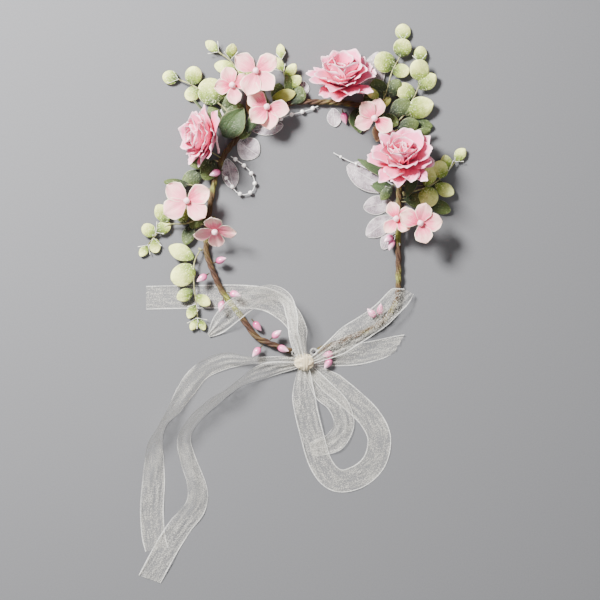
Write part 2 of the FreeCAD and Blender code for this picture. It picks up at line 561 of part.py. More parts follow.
# ---- assembly ------------------------------------------------------------------------------------
def crown():
    nodes = {}
    nodes.update(band())
    nodes.update(right_arm())
    wraps = nodes["band_tape_wrap"] + nodes["right_arm_tape_wrap"]
    for name in PEONIES:
        nodes.update(peony(name))
    for name in BLOSSOMS:
        nodes.update(blossom(name))
    for name in SPRIGS:
        nodes.update(sprig(name))
    for name, leaves in ROSE_LEAVES.items():
        nodes[name] = fixed_leaves(leaves, LEAF_THICKNESS, True, wraps)
    for name, leaves in ORGANZA_LEAVES.items():
        nodes[name] = fixed_leaves(leaves, ORGANZA_THICKNESS, False, wraps)
    nodes["buds_band"] = clear_in_turn(buds(BAND_BUDS), wraps)
    nodes["buds_right_arm"] = clear_in_turn(buds(ARM_BUDS) + [tube(TWIG_ROUTE, WIRE_RADIUS)], wraps)
    for name in STRANDS:
        nodes.update(strand(name))
    nodes.update(ribbons())
    return nodes


def export(nodes):
    os.makedirs("parts", exist_ok=True)
    for name, solids in nodes.items():
        shape = solids[0] if len(solids) == 1 else Part.makeCompound(solids)
        shape.exportStep(f"parts/{name}.step")


if __name__ == "__main__":
    export(crown())
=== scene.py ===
import json
import math
import random

import bmesh
import bpy
import numpy
from mathutils import Matrix, Vector, kdtree, noise

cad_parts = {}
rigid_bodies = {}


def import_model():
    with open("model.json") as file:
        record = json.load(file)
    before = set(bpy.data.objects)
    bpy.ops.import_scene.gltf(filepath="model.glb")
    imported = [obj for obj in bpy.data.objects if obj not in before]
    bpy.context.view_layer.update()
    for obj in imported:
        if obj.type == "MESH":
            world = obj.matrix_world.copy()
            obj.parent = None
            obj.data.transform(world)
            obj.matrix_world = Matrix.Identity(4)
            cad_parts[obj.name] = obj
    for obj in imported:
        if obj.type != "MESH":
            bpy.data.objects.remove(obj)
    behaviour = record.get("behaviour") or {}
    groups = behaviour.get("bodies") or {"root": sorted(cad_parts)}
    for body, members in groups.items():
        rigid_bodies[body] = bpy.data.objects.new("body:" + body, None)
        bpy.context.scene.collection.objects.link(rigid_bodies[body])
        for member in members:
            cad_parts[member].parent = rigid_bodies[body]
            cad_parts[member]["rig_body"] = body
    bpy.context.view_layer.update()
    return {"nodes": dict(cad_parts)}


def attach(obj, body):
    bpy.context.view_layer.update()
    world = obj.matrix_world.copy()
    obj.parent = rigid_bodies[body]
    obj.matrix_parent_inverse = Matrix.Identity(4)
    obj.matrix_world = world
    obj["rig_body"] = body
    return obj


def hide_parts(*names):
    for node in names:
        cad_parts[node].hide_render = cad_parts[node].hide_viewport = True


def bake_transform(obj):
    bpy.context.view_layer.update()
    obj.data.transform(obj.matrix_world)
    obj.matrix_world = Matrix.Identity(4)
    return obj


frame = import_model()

# Flower crown lying flat, in metres: +Z is up, +Y points to the flowered front, the bow is at -Y.
MM = 0.001


def mm(*values):
    """A point or direction given in millimetres."""
    return Vector(values) * MM


def linked(name, data):
    """A new object, in the scene."""
    obj = bpy.data.objects.new(name, data)
    bpy.context.scene.collection.objects.link(obj)
    return obj


# ---- camera ----
VIEW_CENTRE = (-0.0013, -0.0629)
VIEW_WIDTH = 0.51
VIEW_HEIGHT = 1.3

camera = linked("camera", bpy.data.cameras.new("camera"))
camera.location = (*VIEW_CENTRE, VIEW_HEIGHT)
camera.data.angle = 2 * math.atan(VIEW_WIDTH / 2 / VIEW_HEIGHT)
camera.data.clip_start = 0.01
bpy.context.scene.camera = camera


# ---- meshes ----
class Sheetwork:
    """Collects grids of points into one mesh.

    Every point has a trait, three numbers that the materials read: how far along its petal, leaf or strand
    it is, how near the rim it is, and a number of its own petal or leaf.
    """

    def __init__(self):
        self.points = []
        self.faces = []
        self.traits = []
        self.places = []

    def grid(self, rows, traits, places=None, closed=False):
        first = len(self.points)
        across = len(rows[0])
        for row in rows:
            self.points.extend(row)
        for row in traits:
            self.traits.extend(row)
        for i, row in enumerate(rows):
            for j in range(across):
                self.places.append(places[i][j] if places else (j / (across - 1), i / (len(rows) - 1)))
        for i in range(len(rows) - 1):
            for j in range(across if closed else across - 1):
                after = (j + 1) % across
                near = first + i * across
                far = near + across
                self.faces.append((near + j, near + after, far + after, far + j))

    def cap(self, row, trait, outward=True):
        """Close a round row of points with one face."""
        first = len(self.points)
        self.points.extend(row)
        self.traits.extend([trait] * len(row))
        self.places.extend([(0.5, 0.5)] * len(row))
        corners = list(range(first, first + len(row)))
        self.faces.append(corners if outward else corners[::-1])

    def tube(self, rows, alongs, number, steps):
        """Rings of points closed at both ends. alongs has each ring's first trait number."""
        sides = len(rows[0])
        traits = [[(along, 0.0, number)] * sides for along in alongs]
        places = [[(j / sides, i / steps) for j in range(sides)] for i in range(len(rows))]
        self.grid(rows, traits, places, closed=True)
        self.cap(rows[0], traits[0][0], outward=False)
        self.cap(rows[-1], traits[-1][0])

    def make(self, name, thickness=0.0, levels=0):
        mesh = bpy.data.meshes.new(name)
        mesh.from_pydata([tuple(point) for point in self.points], [], self.faces)
        trait = mesh.color_attributes.new(name="trait", type="FLOAT_COLOR", domain="POINT")
        for value, numbers in zip(trait.data, self.traits):
            value.color = (*numbers, 1.0)
        layer = mesh.uv_layers.new(name="place")
        for loop, value in zip(mesh.loops, layer.data):
            value.uv = self.places[loop.vertex_index]
        mesh.shade_smooth()
        obj = linked(name, mesh)
        if thickness:
            skin = obj.modifiers.new("thickness", "SOLIDIFY")
            skin.thickness = thickness
            skin.offset = 0
        if levels:
            rounding = obj.modifiers.new("rounding", "SUBSURF")
            rounding.levels = levels
            rounding.render_levels = levels
        return obj


def keep_above_floor(work, clearance=0.0004):
    """Lift the points that reach under the surface that the crown lies on."""
    for point in work.points:
        point.z = max(point.z, clearance)


def dress(obj, material, nodes=()):
    """Give a piece its look, and let it stand for CAD nodes."""
    obj.data.materials.append(material)
    if nodes:
        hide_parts(*nodes)
    return obj


def finish_piece(obj, material, nodes):
    """Dress a piece, and let it ride on the body of the CAD nodes that it stands for."""
    dress(obj, material, nodes)
    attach(obj, frame["nodes"][nodes[0]]["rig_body"])
    return obj


def paint_node(node, material):
    """Give a CAD node that stays its own look."""
    materials = frame["nodes"][node].data.materials
    materials.clear()
    materials.append(material)


def flower_frame(base, azimuth, tilt):
    """A flower's own axes: its axis leans by a tilt towards an azimuth from a base point in millimetres."""
    turn = Matrix.Rotation(math.radians(azimuth), 4, "Z") @ Matrix.Rotation(math.radians(tilt), 4, "Y")
    return Matrix.Translation(mm(*base)) @ turn


def petal_frame(flower, angle, pitch, bore, rise):
    """Axes at a petal's foot: X outwards along the petal, Z off its face, raised by a pitch in degrees."""
    return (
        flower
        @ Matrix.Rotation(math.radians(angle), 4, "Z")
        @ Matrix.Translation((bore, 0, rise))
        @ Matrix.Rotation(math.radians(-pitch), 4, "Y")
    )


def islands(node):
    """The separate solids of a CAD node, each as its points and triangles.

    Solids that touch share points, but no edge of theirs has just two faces, so the search goes across edges.
    """
    source = bmesh.new()
    source.from_mesh(frame["nodes"][node].data)
    bmesh.ops.remove_doubles(source, verts=source.verts, dist=2e-6)
    source.faces.ensure_lookup_table()
    seen = set()
    groups = []
    for start in source.faces:
        if start.index in seen:
            continue
        group = []
        waiting = [start]
        seen.add(start.index)
        while waiting:
            face = waiting.pop()
            group.append(face)
            for edge in face.edges:
                if len(edge.link_faces) != 2:
                    continue
                for other in edge.link_faces:
                    if other.index not in seen:
                        seen.add(other.index)
                        waiting.append(other)
        corners = sorted({vert for face in group for vert in face.verts}, key=lambda vert: vert.index)
        order = {vert: k for k, vert in enumerate(corners)}
        triangles = [tuple(order[vert] for vert in face.verts) for face in group]
        groups.append(([vert.co.copy() for vert in corners], triangles))
    source.free()
    groups = [group for group in groups if len(group[1]) > 8]
    return sorted(groups, key=lambda group: (round(group[0][0].x, 4), round(group[0][0].y, 4)))


def search_tree(points):
    tree = kdtree.KDTree(len(points))
    for index, point in enumerate(points):
        tree.insert(point, index)
    tree.balance()
    return tree


def principal_axes(points):
    """Centre, and the directions of the longest, middle and shortest extents."""
    cloud = numpy.array([tuple(point) for point in points])
    low, high = cloud.min(axis=0), cloud.max(axis=0)
    centre = (low + high) / 2
    values, vectors = numpy.linalg.eigh(numpy.cov((cloud - cloud.mean(axis=0)).T))
    return Vector(centre), [Vector(vectors[:, k]).normalized() for k in (2, 1, 0)]


def spread(points, origin, direction):
    distances = [(point - origin).dot(direction) for point in points]
    return min(distances), max(distances)


def leaf_axes(points, roots):
    """A leaf plate's own axes, its length and its width, from its CAD solid.

    roots is a search tree of the stalk that it grows from.
    """
    centre, (longest, middle, normal) = principal_axes(points)
    if normal.z < 0:
        normal = -normal
    nearest = sorted(points, key=lambda point: roots.find(point)[2])[: max(3, len(points) // 16)]
    foot_side = sum(nearest, Vector()) / len(nearest)
    low, high = spread(points, centre, longest)
    low_across, high_across = spread(points, centre, middle)
    if high - low > 1.2 * (high_across - low_across):
        along = longest if (foot_side - centre).dot(longest) < 0 else -longest
    else:
        along = centre - foot_side
        along = (along - normal * along.dot(normal)).normalized()
    across = normal.cross(along)
    low, high = spread(points, centre, along)
    low_across, high_across = spread(points, centre, across)
    foot = centre + along * low + across * (low_across + high_across) / 2
    axes = Matrix((along, across, normal)).transposed().to_4x4()
    axes.translation = foot
    return axes, high - low, high_across - low_across


def rod_rows(path, radii, sides=10):
    """Rings of points round a path of points, one radius for each point."""
    rows = []
    across = None
    for index, (point, radius) in enumerate(zip(path, radii)):
        along = (path[min(index + 1, len(path) - 1)] - path[max(index - 1, 0)]).normalized()
        if across is None:
            across = along.orthogonal().normalized()
        across = (across - along * across.dot(along)).normalized()
        up = along.cross(across)
        turns = [2 * math.pi * k / sides for k in range(sides)]
        rows.append([point + (across * math.cos(turn) + up * math.sin(turn)) * radius for turn in turns])
    return rows


def add_rod(work, path, radii, number=0.0, sides=10):
    """A round stalk along a path, closed at both ends."""
    last = len(path) - 1
    work.tube(rod_rows(path, radii, sides), [i / last for i in range(len(path))], number, last)


def catmull_rom(stations, steps):
    """Stations with steps intervals between each pair, on a Catmull-Rom spline through all their values."""
    padded = [stations[0], *stations, stations[-1]]
    dense = []
    for p0, p1, p2, p3 in zip(padded, padded[1:], padded[2:], padded[3:]):
        for step in range(steps):
            t = step / steps
            dense.append([
                0.5 * (2 * b + (c - a) * t + (2 * a - 5 * b + 4 * c - d) * t ** 2
                       + (3 * b - a - 3 * c + d) * t ** 3)
                for a, b, c, d in zip(p0, p1, p2, p3)
            ])
    return dense + [list(stations[-1])]


# ---- materials ----
def colour(red, green, blue):
    """Linear colour from display values of 0 to 255."""
    def linear(value):
        value /= 255
        return value / 12.92 if value <= 0.04045 else ((value + 0.055) / 1.055) ** 2.4
    return (linear(red), linear(green), linear(blue), 1.0)


class Look:
    """A Principled material, with short calls for the nodes that its colour and relief come from."""

    def __init__(self, name, **settings):
        self.material = bpy.data.materials.new(name)
        self.material.use_nodes = True
        self.tree = self.material.node_tree
        self.shader = self.tree.nodes["Principled BSDF"]
        for socket, value in settings.items():
            self.shader.inputs[socket.replace("_", " ")].default_value = value

    def node(self, kind, inputs=(), **attributes):
        node = self.tree.nodes.new(kind)
        for name, value in attributes.items():
            setattr(node, name, value)
        for name, value in dict(inputs).items():
            self.feed(node.inputs[name], value)
        return node

    def feed(self, socket, value):
        """Link a socket to a node's output, or set it to a fixed value."""
        if isinstance(value, bpy.types.NodeSocket):
            self.tree.links.new(value, socket)
        else:
            socket.default_value = value

    def trait(self):
        """Sockets of the mesh's trait: along, rim and number."""
        attribute = self.node("ShaderNodeAttribute", attribute_name="trait")
        split = self.node("ShaderNodeSeparateColor", {"Color": attribute.outputs["Color"]})
        return split.outputs["Red"], split.outputs["Green"], split.outputs["Blue"]

    def object_place(self):
        return self.node("ShaderNodeTexCoord").outputs["Object"]

    def sheet_place(self):
        return self.node("ShaderNodeUVMap", uv_map="place").outputs["UV"]

    def scaled(self, place, scale):
        return self.node("ShaderNodeMapping", {"Vector": place, "Scale": scale}).outputs["Vector"]

    def noise(self, place, scale, detail=3.0, roughness=0.5):
        values = {"Vector": place, "Scale": scale, "Detail": detail, "Roughness": roughness}
        return self.node("ShaderNodeTexNoise", values).outputs["Fac"]

    def grains(self, place, scale):
        return self.node("ShaderNodeTexVoronoi", {"Vector": place, "Scale": scale}).outputs["Distance"]

    def ramp(self, source, *stops):
        """Colour by a value: stops of (value, colour)."""
        node = self.node("ShaderNodeValToRGB", {"Fac": source})
        elements = node.color_ramp.elements
        elements[0].position, elements[0].color = stops[0]
        elements[1].position, elements[1].color = stops[-1]
        for position, value in stops[1:-1]:
            elements.new(position).color = value
        return node.outputs["Color"]

    def share(self, source, low, high, start=0.0, end=1.0):
        """Map low..high onto start..end, held at both ends."""
        values = {"Value": source, "From Min": low, "From Max": high, "To Min": start, "To Max": end}
        return self.node("ShaderNodeMapRange", values).outputs["Result"]

    def maths(self, operation, first, second):
        node = self.node("ShaderNodeMath", operation=operation)
        self.feed(node.inputs[0], first)
        self.feed(node.inputs[1], second)
        return node.outputs["Value"]

    def add(self, first, second):
        return self.maths("ADD", first, second)

    def times(self, first, second):
        return self.maths("MULTIPLY", first, second)

    def stirred(self, value, cloud, amount):
        """A value moved up and down by a noise round its middle."""
        return self.add(value, self.times(self.maths("SUBTRACT", cloud, 0.5), amount))

    def mix(self, share, first, second):
        """The first colour where share is 0, the second where it is 1."""
        node = self.node("ShaderNodeMix", data_type="RGBA", blend_type="MIX")
        for index, value in ((0, share), (6, first), (7, second)):
            self.feed(node.inputs[index], value)
        return node.outputs[2]

    def set(self, socket, source):
        self.tree.links.new(source, self.shader.inputs[socket])

    def bump(self, height, distance, strength):
        values = {"Height": height, "Distance": distance, "Strength": strength}
        self.set("Normal", self.node("ShaderNodeBump", values).outputs["Normal"])


def petal_look(name, throat_dye_and_shade, body, tip, rim, deep, vein_strength, rim_start):
    """Dyed petal cloth: a deep throat, its dye darkened further by painted shade where the petals crowd at their
    feet, that fades to a pale body and rim, with fine veins and a soft sheen.

    deep is the dye of the petals with the highest number, which in a peony are the innermost ones.
    """
    look = Look(name, Roughness=0.72, Sheen_Weight=0.25, Sheen_Roughness=0.5, Specular_IOR_Level=0.25)
    along, edge, number = look.trait()
    cloudy = look.noise(look.object_place(), 190.0, 4.0, 0.6)
    position = look.stirred(along, cloudy, 0.5)
    veins = look.noise(look.scaled(look.sheet_place(), (22.0, 1.6, 1.0)), 1.8, 3.0, 0.6)
    position = look.add(position, look.share(veins, 0.3, 0.7, -vein_strength, vein_strength))
    # The throat end of the ramp is dye deepened by painted shade at the petals' feet.
    base = look.ramp(position, (0.08, throat_dye_and_shade), (0.42, body), (0.8, tip), (1.0, tip))
    base = look.mix(look.share(number, 0.0, 1.0, 0.0, 0.6), base, deep)
    frayed = look.stirred(edge, cloudy, 0.3)
    base = look.mix(look.share(frayed, rim_start, 1.0, 0.0, 0.95), base, rim)
    look.set("Base Color", base)
    weave = look.grains(look.object_place(), 2600.0)
    relief = look.add(look.times(veins, 0.9), look.times(weave, 0.12))
    look.bump(relief, 0.0007, 0.8)
    return look.material


# The first colour of each is the throat: dye deepened by painted shade at the petals' feet.
peony_cloth = petal_look(
    "peony_cloth", colour(200, 42, 102), colour(250, 104, 154), colour(255, 150, 186), colour(255, 222, 228),
    colour(254, 120, 166), 0.12, 0.78)
blossom_cloth = petal_look(
    "blossom_cloth", colour(196, 20, 80), colour(250, 106, 142), colour(255, 208, 192), colour(255, 244, 216),
    colour(252, 176, 184), 0.26, 0.68)


def heart_look():
    """Pale pink with small lighter and darker spots."""
    look = Look("flower_heart", Roughness=0.6)
    mottle = look.noise(look.object_place(), 900.0, 2.0)
    look.set("Base Color", look.mix(
        look.share(mottle, 0.35, 0.65), colour(246, 164, 188), colour(255, 232, 228)))
    look.bump(mottle, 0.0004, 0.6)
    return look.material


def foliage_look(name, root, middle, tip, frost, frost_share, grain, vein_depth):
    """Moulded leaf: dark root, pale tip, a granular frosted face and a raised midrib."""
    look = Look(name, Roughness=0.6, Sheen_Weight=0.15, Specular_IOR_Level=0.35)
    along, edge, number = look.trait()
    place = look.object_place()
    cloudy = look.noise(place, 220.0, 4.0, 0.65)
    position = look.stirred(along, cloudy, 0.7)
    position = look.add(position, look.share(number, 0.0, 1.0, -0.14, 0.14))
    base = look.ramp(position, (0.0, root), (0.36, middle), (0.85, tip))
    speckle = look.noise(place, grain, 2.0, 0.7)
    base = look.mix(look.share(speckle, 0.56, 0.72, 0.0, frost_share), base, frost)
    base = look.mix(look.share(edge, 0.86, 1.0, 0.0, 0.55), base, frost)
    look.set("Base Color", base)
    sand = look.grains(place, grain * 1.1)
    ribs = look.noise(look.scaled(look.sheet_place(), (9.0, 1.5, 1.0)), 1.3, 2.0)
    relief = look.add(look.times(sand, 0.5), look.times(ribs, vein_depth))
    look.bump(relief, 0.0006, 0.8)
    look.set("Roughness", look.share(speckle, 0.4, 0.7, 0.7, 0.42))
    return look.material


eucalyptus = foliage_look(
    "eucalyptus_leaf", colour(40, 58, 12), colour(124, 144, 46), colour(232, 236, 140), colour(246, 248, 190),
    0.75, 760.0, 0.6)
# A near-black copy of the eucalyptus leaf: its darkness is painted shade for the leaves deep among the flowers.
painted_shade_leaf = foliage_look(
    "painted_shade_leaf", colour(16, 24, 8), colour(36, 50, 18), colour(80, 94, 42), colour(176, 186, 136), 0.42,
    760.0, 0.8)
tawny_leaf = foliage_look(
    "tawny_leaf", colour(96, 50, 38), colour(142, 104, 72), colour(186, 160, 120), colour(214, 196, 168), 0.3, 1200.0,
    0.8)
lime_leaf = foliage_look(
    "lime_leaf", colour(92, 104, 24), colour(142, 152, 46), colour(186, 184, 92), colour(206, 206, 140), 0.3, 1200.0,
    0.8)
rose_leaf = foliage_look(
    "rose_leaf", colour(20, 30, 12), colour(38, 56, 24), colour(64, 84, 42), colour(142, 132, 98), 0.24, 900.0, 1.4)


def organza_leaf_look():
    """Sheer leaf: a fine net of veins over a see-through pinkish grey film, with scattered glints."""
    look = Look("organza_leaf", Roughness=0.32, Sheen_Weight=0.5, Specular_IOR_Level=0.6)
    along, edge, number = look.trait()
    place = look.object_place()
    cells = {"Vector": place, "Scale": 520.0}
    net = look.node("ShaderNodeTexVoronoi", cells, feature="DISTANCE_TO_EDGE").outputs["Distance"]
    lace = look.share(net, 0.0, 0.16, 1.0, 0.0)
    cloud = look.noise(place, 120.0, 3.0)
    tone = look.ramp(cloud, (0.35, colour(176, 160, 168)), (0.65, colour(232, 218, 222)))
    look.set("Base Color", look.mix(look.share(edge, 0.82, 1.0, 0.0, 0.8), tone, colour(240, 234, 230)))
    film = look.share(cloud, 0.35, 0.65, 0.36, 0.56)
    film = look.add(film, look.times(lace, 0.2))
    look.set("Alpha", look.add(film, look.share(edge, 0.85, 1.0, 0.0, 0.35)))
    look.bump(look.add(lace, look.noise(place, 900.0, 2.0)), 0.0005, 0.6)
    return look.material


organza_leaf = organza_leaf_look()


WEAVE_SCALE = 11.0


def ribbon_look(name, film, body_tone):
    """Organza ribbon: crossed fine threads, and a tight bright selvage at each edge."""
    look = Look(name, Roughness=0.5, Sheen_Weight=0.6, Sheen_Roughness=0.35, Specular_IOR_Level=0.4)
    along, edge, number = look.trait()
    place = look.sheet_place()
    waves = {"Vector": place, "Scale": WEAVE_SCALE, "Distortion": 0.6}
    warp, weft = [look.node("ShaderNodeTexWave", waves, bands_direction=way).outputs["Fac"] for way in "XY"]
    threads = look.maths("MAXIMUM", warp, weft)
    grain = look.noise(place, 17.0, 5.0, 0.9)
    streak = look.noise(look.scaled(place, (5.0, 0.9, 1.0)), 1.6, 3.0, 0.6)
    selvage = look.share(edge, 0.89, 0.94)
    thick = look.add(look.times(threads, 0.10), look.share(grain, 0.46, 0.62, -0.06, 0.6))
    thick = look.add(thick, look.share(streak, 0.36, 0.66, -0.2, 0.2))
    thick = look.add(thick, film)
    thick = look.add(thick, look.times(number, 0.35))
    look.set("Alpha", look.maths("MINIMUM", look.add(thick, look.times(selvage, 0.55)), 0.97))
    look.set("Base Color", look.mix(selvage, body_tone, colour(255, 253, 246)))
    look.bump(look.add(threads, grain), 0.0006, 0.8)
    return look.material


ribbon_cloth = ribbon_look("ribbon_organza", 0.0, colour(255, 250, 236))
knot_cloth = ribbon_look("ribbon_knot", 0.66, colour(255, 234, 192))


def bark_look():
    """Floral tape and stems: dark brown with moss-green stretches and lengthwise grooves, with painted shade laid
    down in the grooves.
    """
    look = Look("floral_tape", Roughness=0.62, Specular_IOR_Level=0.3)
    place = look.object_place()
    patches = look.noise(place, 42.0, 3.0, 0.6)
    groove_relief_and_shade = look.noise(look.scaled(look.sheet_place(), (7.0, 60.0, 1.0)), 1.5, 4.0, 0.6)
    base = look.ramp(
        patches, (0.42, colour(92, 62, 44)), (0.54, colour(112, 92, 54)), (0.66, colour(154, 158, 76)))
    # A darker copy of the tones, laid in the low lines of the groove relief: painted shade in the grooves.
    dark = look.ramp(
        patches, (0.42, colour(34, 22, 17)), (0.54, colour(58, 44, 26)), (0.66, colour(88, 94, 38)))
    look.set("Base Color", look.mix(look.share(groove_relief_and_shade, 0.35, 0.65), dark, base))
    look.bump(look.add(groove_relief_and_shade, look.noise(place, 1400.0, 2.0)), 0.0006, 0.9)
    return look.material


def stalk_look(name, dark, pale):
    """Matt stalk in two tones."""
    look = Look(name, Roughness=0.55, Specular_IOR_Level=0.35)
    grain = look.noise(look.object_place(), 300.0, 3.0, 0.6)
    look.set("Base Color", look.ramp(grain, (0.35, dark), (0.65, pale)))
    look.bump(look.noise(look.object_place(), 2200.0, 2.0), 0.0004, 0.7)
    return look.material


def bud_look():
    """Glossy dipped bud: magenta at its foot, paler towards its tip, with a lacquered coat."""
    look = Look("bud_gloss", Roughness=0.3, Coat_Weight=0.8, Coat_Roughness=0.12)
    along, edge, number = look.trait()
    mottle = look.noise(look.object_place(), 350.0, 2.0)
    position = look.stirred(along, mottle, 0.3)
    position = look.add(position, look.share(number, 0.0, 1.0, -0.1, 0.22))
    look.set("Base Color", look.ramp(
        position, (0.0, colour(150, 40, 92)), (0.25, colour(222, 88, 148)), (0.65, colour(240, 140, 184)),
        (1.0, colour(252, 206, 222))))
    look.bump(mottle, 0.0003, 0.3)
    return look.material


def pearl_look():
    """Moulded pearl: near white under a clear coat."""
    look = Look("pearl", Roughness=0.18, Coat_Weight=0.9, Coat_Roughness=0.06, Sheen_Weight=0.2)
    shell = look.noise(look.object_place(), 500.0, 2.0)
    look.set("Base Color", look.ramp(shell, (0.35, colour(238, 232, 224)), (0.7, colour(252, 250, 248))))
    look.bump(shell, 0.0001, 0.2)
    return look.material


def line_look(name, dark, pale, roughness):
    """Smooth line or wire in two near tones."""
    look = Look(name, Roughness=roughness, Specular_IOR_Level=0.7)
    wear = look.noise(look.object_place(), 600.0, 2.0)
    look.set("Base Color", look.ramp(wear, (0.35, dark), (0.65, pale)))
    look.bump(wear, 0.0001, 0.3)
    return look.material


bark = bark_look()
stem_green = stalk_look("blossom_stem", colour(74, 78, 38), colour(132, 140, 76))
sprig_stalk = stalk_look("sprig_stalk", colour(96, 92, 54), colour(172, 172, 122))
bud_stalk = stalk_look("bud_stalk", colour(40, 28, 20), colour(84, 70, 42))
stamen_tone = stalk_look("stamen", colour(206, 204, 182), colour(240, 238, 224))
bud_gloss = bud_look()
flower_heart = heart_look()
pearl_gloss = pearl_look()
clear_line = line_look("clear_line", colour(218, 216, 212), colour(244, 243, 240), 0.2)
steel = line_look("steel_wire", colour(120, 118, 114), colour(176, 174, 170), 0.35)
leaf_wire = line_look("leaf_wire", colour(200, 196, 188), colour(238, 236, 230), 0.3)


# ---- pearl strands ----
LINE_DIAMETER = 0.0007
# name: (route of the line, its length, pearl radius, number of pearls, what its far end is)
STRANDS = {
    "left": ([(-0.067, 0.044, 0.0032), (-0.0605, 0.037, 0.003), (-0.0565, 0.029, 0.003), (-0.049, 0.0255, 0.003),
              (-0.041, 0.029, 0.003), (-0.039, 0.037, 0.003), (-0.043, 0.046, 0.003), (-0.050, 0.0525, 0.003),
              (-0.060, 0.059, 0.0034)], 0.072, 0.0019, 8, "object"),
    "top": ([(0.014, 0.1015, 0.003), (0.006, 0.098, 0.0029), (-0.004, 0.0956, 0.0028), (-0.014, 0.093, 0.0028),
             (-0.022, 0.088, 0.0028), (-0.026, 0.080, 0.0028)], 0.047, 0.0019, 5, "knot"),
    "right": ([(0.0775, 0.0345, 0.0042), (0.064, 0.043, 0.0042), (0.051, 0.051, 0.004), (0.039, 0.055, 0.0036),
               (0.027, 0.062, 0.0032)], 0.057, 0.0013, 4, "knot"),
}


def line_curve(name, route, diameter):
    curve = bpy.data.curves.new(name, "CURVE")
    curve.dimensions = "3D"
    curve.bevel_depth = diameter / 2
    curve.bevel_resolution = 3
    curve.use_fill_caps = True
    spline = curve.splines.new("NURBS")
    spline.points.add(len(route) - 1)
    for point, place in zip(spline.points, route):
        point.co = (*place, 1.0)
    spline.order_u = 3
    spline.use_endpoint_u = True
    spline.resolution_u = 12
    return linked(name, curve)


def spline_points(obj):
    """Points along a curve's own line."""
    bare = obj.copy()
    bare.data = obj.data.copy()
    bare.data.bevel_depth = 0
    bpy.context.scene.collection.objects.link(bare)
    bpy.context.view_layer.update()
    mesh = bpy.data.meshes.new_from_object(bare)
    points = [vert.co.copy() for vert in mesh.vertices]
    bpy.data.objects.remove(bare)
    bpy.data.meshes.remove(mesh)
    return points


def spots_along(points, shares):
    """Place and direction at each share of a polyline's length."""
    steps = [(b - a).length for a, b in zip(points, points[1:])]
    total = sum(steps)
    spots = []
    for share in shares:
        left = share * total
        for a, b, step in zip(points, points[1:], steps):
            if left <= step or b is points[-1]:
                spots.append((a.lerp(b, min(left / step, 1.0)), (b - a).normalized()))
                break
            left -= step
    return spots


def add_pearl(work, centre, along, radius, number):
    """A bead on its thread: a ball drawn in to a small dimple where the line enters and leaves."""
    rings, sides = 13, 20
    path, radii = [], []
    for i in range(rings):
        turn = math.pi * (0.06 + 0.88 * i / (rings - 1))
        path.append(centre - along * math.cos(turn) * radius * 0.985)
        radii.append(radius * math.sin(turn))
    path = [path[0] + along * radius * 0.12] + path + [path[-1] - along * radius * 0.12]
    radii = [radii[0] * 0.55] + radii + [radii[-1] * 0.55]
    add_rod(work, path, radii, number, sides)


for name, (route, length, radius, count, far_end) in STRANDS.items():
    line = line_curve(f"strand_{name}_line", route, LINE_DIAMETER)
    finish_piece(line, clear_line, [f"pearl_line_{name}"])
    beads = Sheetwork()
    shares = [(k + 0.5) / count for k in range(count)]
    for number, (centre, along) in enumerate(spots_along(spline_points(line), shares)):
        centre.z = max(centre.z, radius + 0.0003)
        add_pearl(beads, centre, along, radius, number / count)
    pearls = finish_piece(
        beads.make(f"strand_{name}_pearls"), pearl_gloss, [f"pearl_beads_{name}"])


# ---- band of twisted stems ----
# Centre line in millimetres, from the left end at the bow, up the left side, round the front, down the right.
BAND_ROUTE = [
    (-9, -106.5), (-26, -100), (-37, -95), (-44, -87), (-52, -76), (-67, -56), (-74, -41), (-80, -25),
    (-80.5, -8), (-78, 14), (-74, 36), (-68.5, 54), (-59, 69), (-44, 84), (-28, 97), (-10, 104), (14, 105),
    (37, 104), (57, 99), (71, 86), (78.5, 69), (82, 45), (82.5, 20), (82, -11.5),
]
ARM_ROUTE = [(82, -20.5), (82, -53), (78, -69), (65, -84), (36, -97), (14, -105.5)]
BAND_HEIGHT = 3.6
STEM_COUNT = 3
STEM_RADIUS = 0.00135
STEM_OFFSET = 0.00128
TWIST_LENGTH = 0.027
STEM_STEP = 0.0012


def resample(points, step):
    """Points at even steps along a polyline."""
    total = sum((b - a).length for a, b in zip(points, points[1:]))
    count = max(2, round(total / step))
    return [spot for spot, along in spots_along(points, [k / count for k in range(count + 1)])]


centre_line = resample(
    [mm(x, y, BAND_HEIGHT) for x, y in catmull_rom([*BAND_ROUTE, *ARM_ROUTE], 8)], STEM_STEP)


def twisted_stems(name, first, last, node):
    """The stems between two places on the centre line, each wound round the others."""
    work = Sheetwork()
    for stem in range(STEM_COUNT):
        path, radii = [], []
        for index in range(first, last + 1):
            after = centre_line[min(index + 1, len(centre_line) - 1)]
            along = (after - centre_line[max(index - 1, 0)]).normalized()
            across = along.cross(Vector((0, 0, 1))).normalized()
            run = index * STEM_STEP
            turn = 2 * math.pi * (run / TWIST_LENGTH + stem / STEM_COUNT) + 0.9 * math.sin(run * 61)
            wander = 1 + 0.12 * noise.noise(Vector((run * 90, stem * 7.3, 0)))
            offset = STEM_OFFSET * (across * math.cos(turn) + Vector((0, 0, 1)) * math.sin(turn))
            path.append(centre_line[index] + offset * wander)
            swelling = noise.noise(Vector((run * 150, stem * 3.1, 5.0)))
            radii.append(STEM_RADIUS * (1 + 0.13 * swelling + (0.10 if stem == 0 else -0.05)))
        add_rod(work, path, radii, stem / STEM_COUNT, 10)
    return dress(work.make(name), bark, [node])


def nearest_index(target):
    return min(range(len(centre_line)), key=lambda k: (centre_line[k] - target).length)


band_end = nearest_index(mm(82, -6, BAND_HEIGHT))
arm_start = nearest_index(mm(82, -28, BAND_HEIGHT))
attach(twisted_stems("band_stems", 0, band_end, "band_tape_wrap"), "root")
arm = twisted_stems("right_arm_stems", arm_start, len(centre_line) - 1, "right_arm_tape_wrap")
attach(arm, "right_arm")
elbow = twisted_stems("arm_flex_stems", band_end, arm_start, "right_arm_tape_wrap")
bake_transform(elbow)
for node in ("band_core_wire", "right_arm_core_wire"):
    paint_node(node, steel)


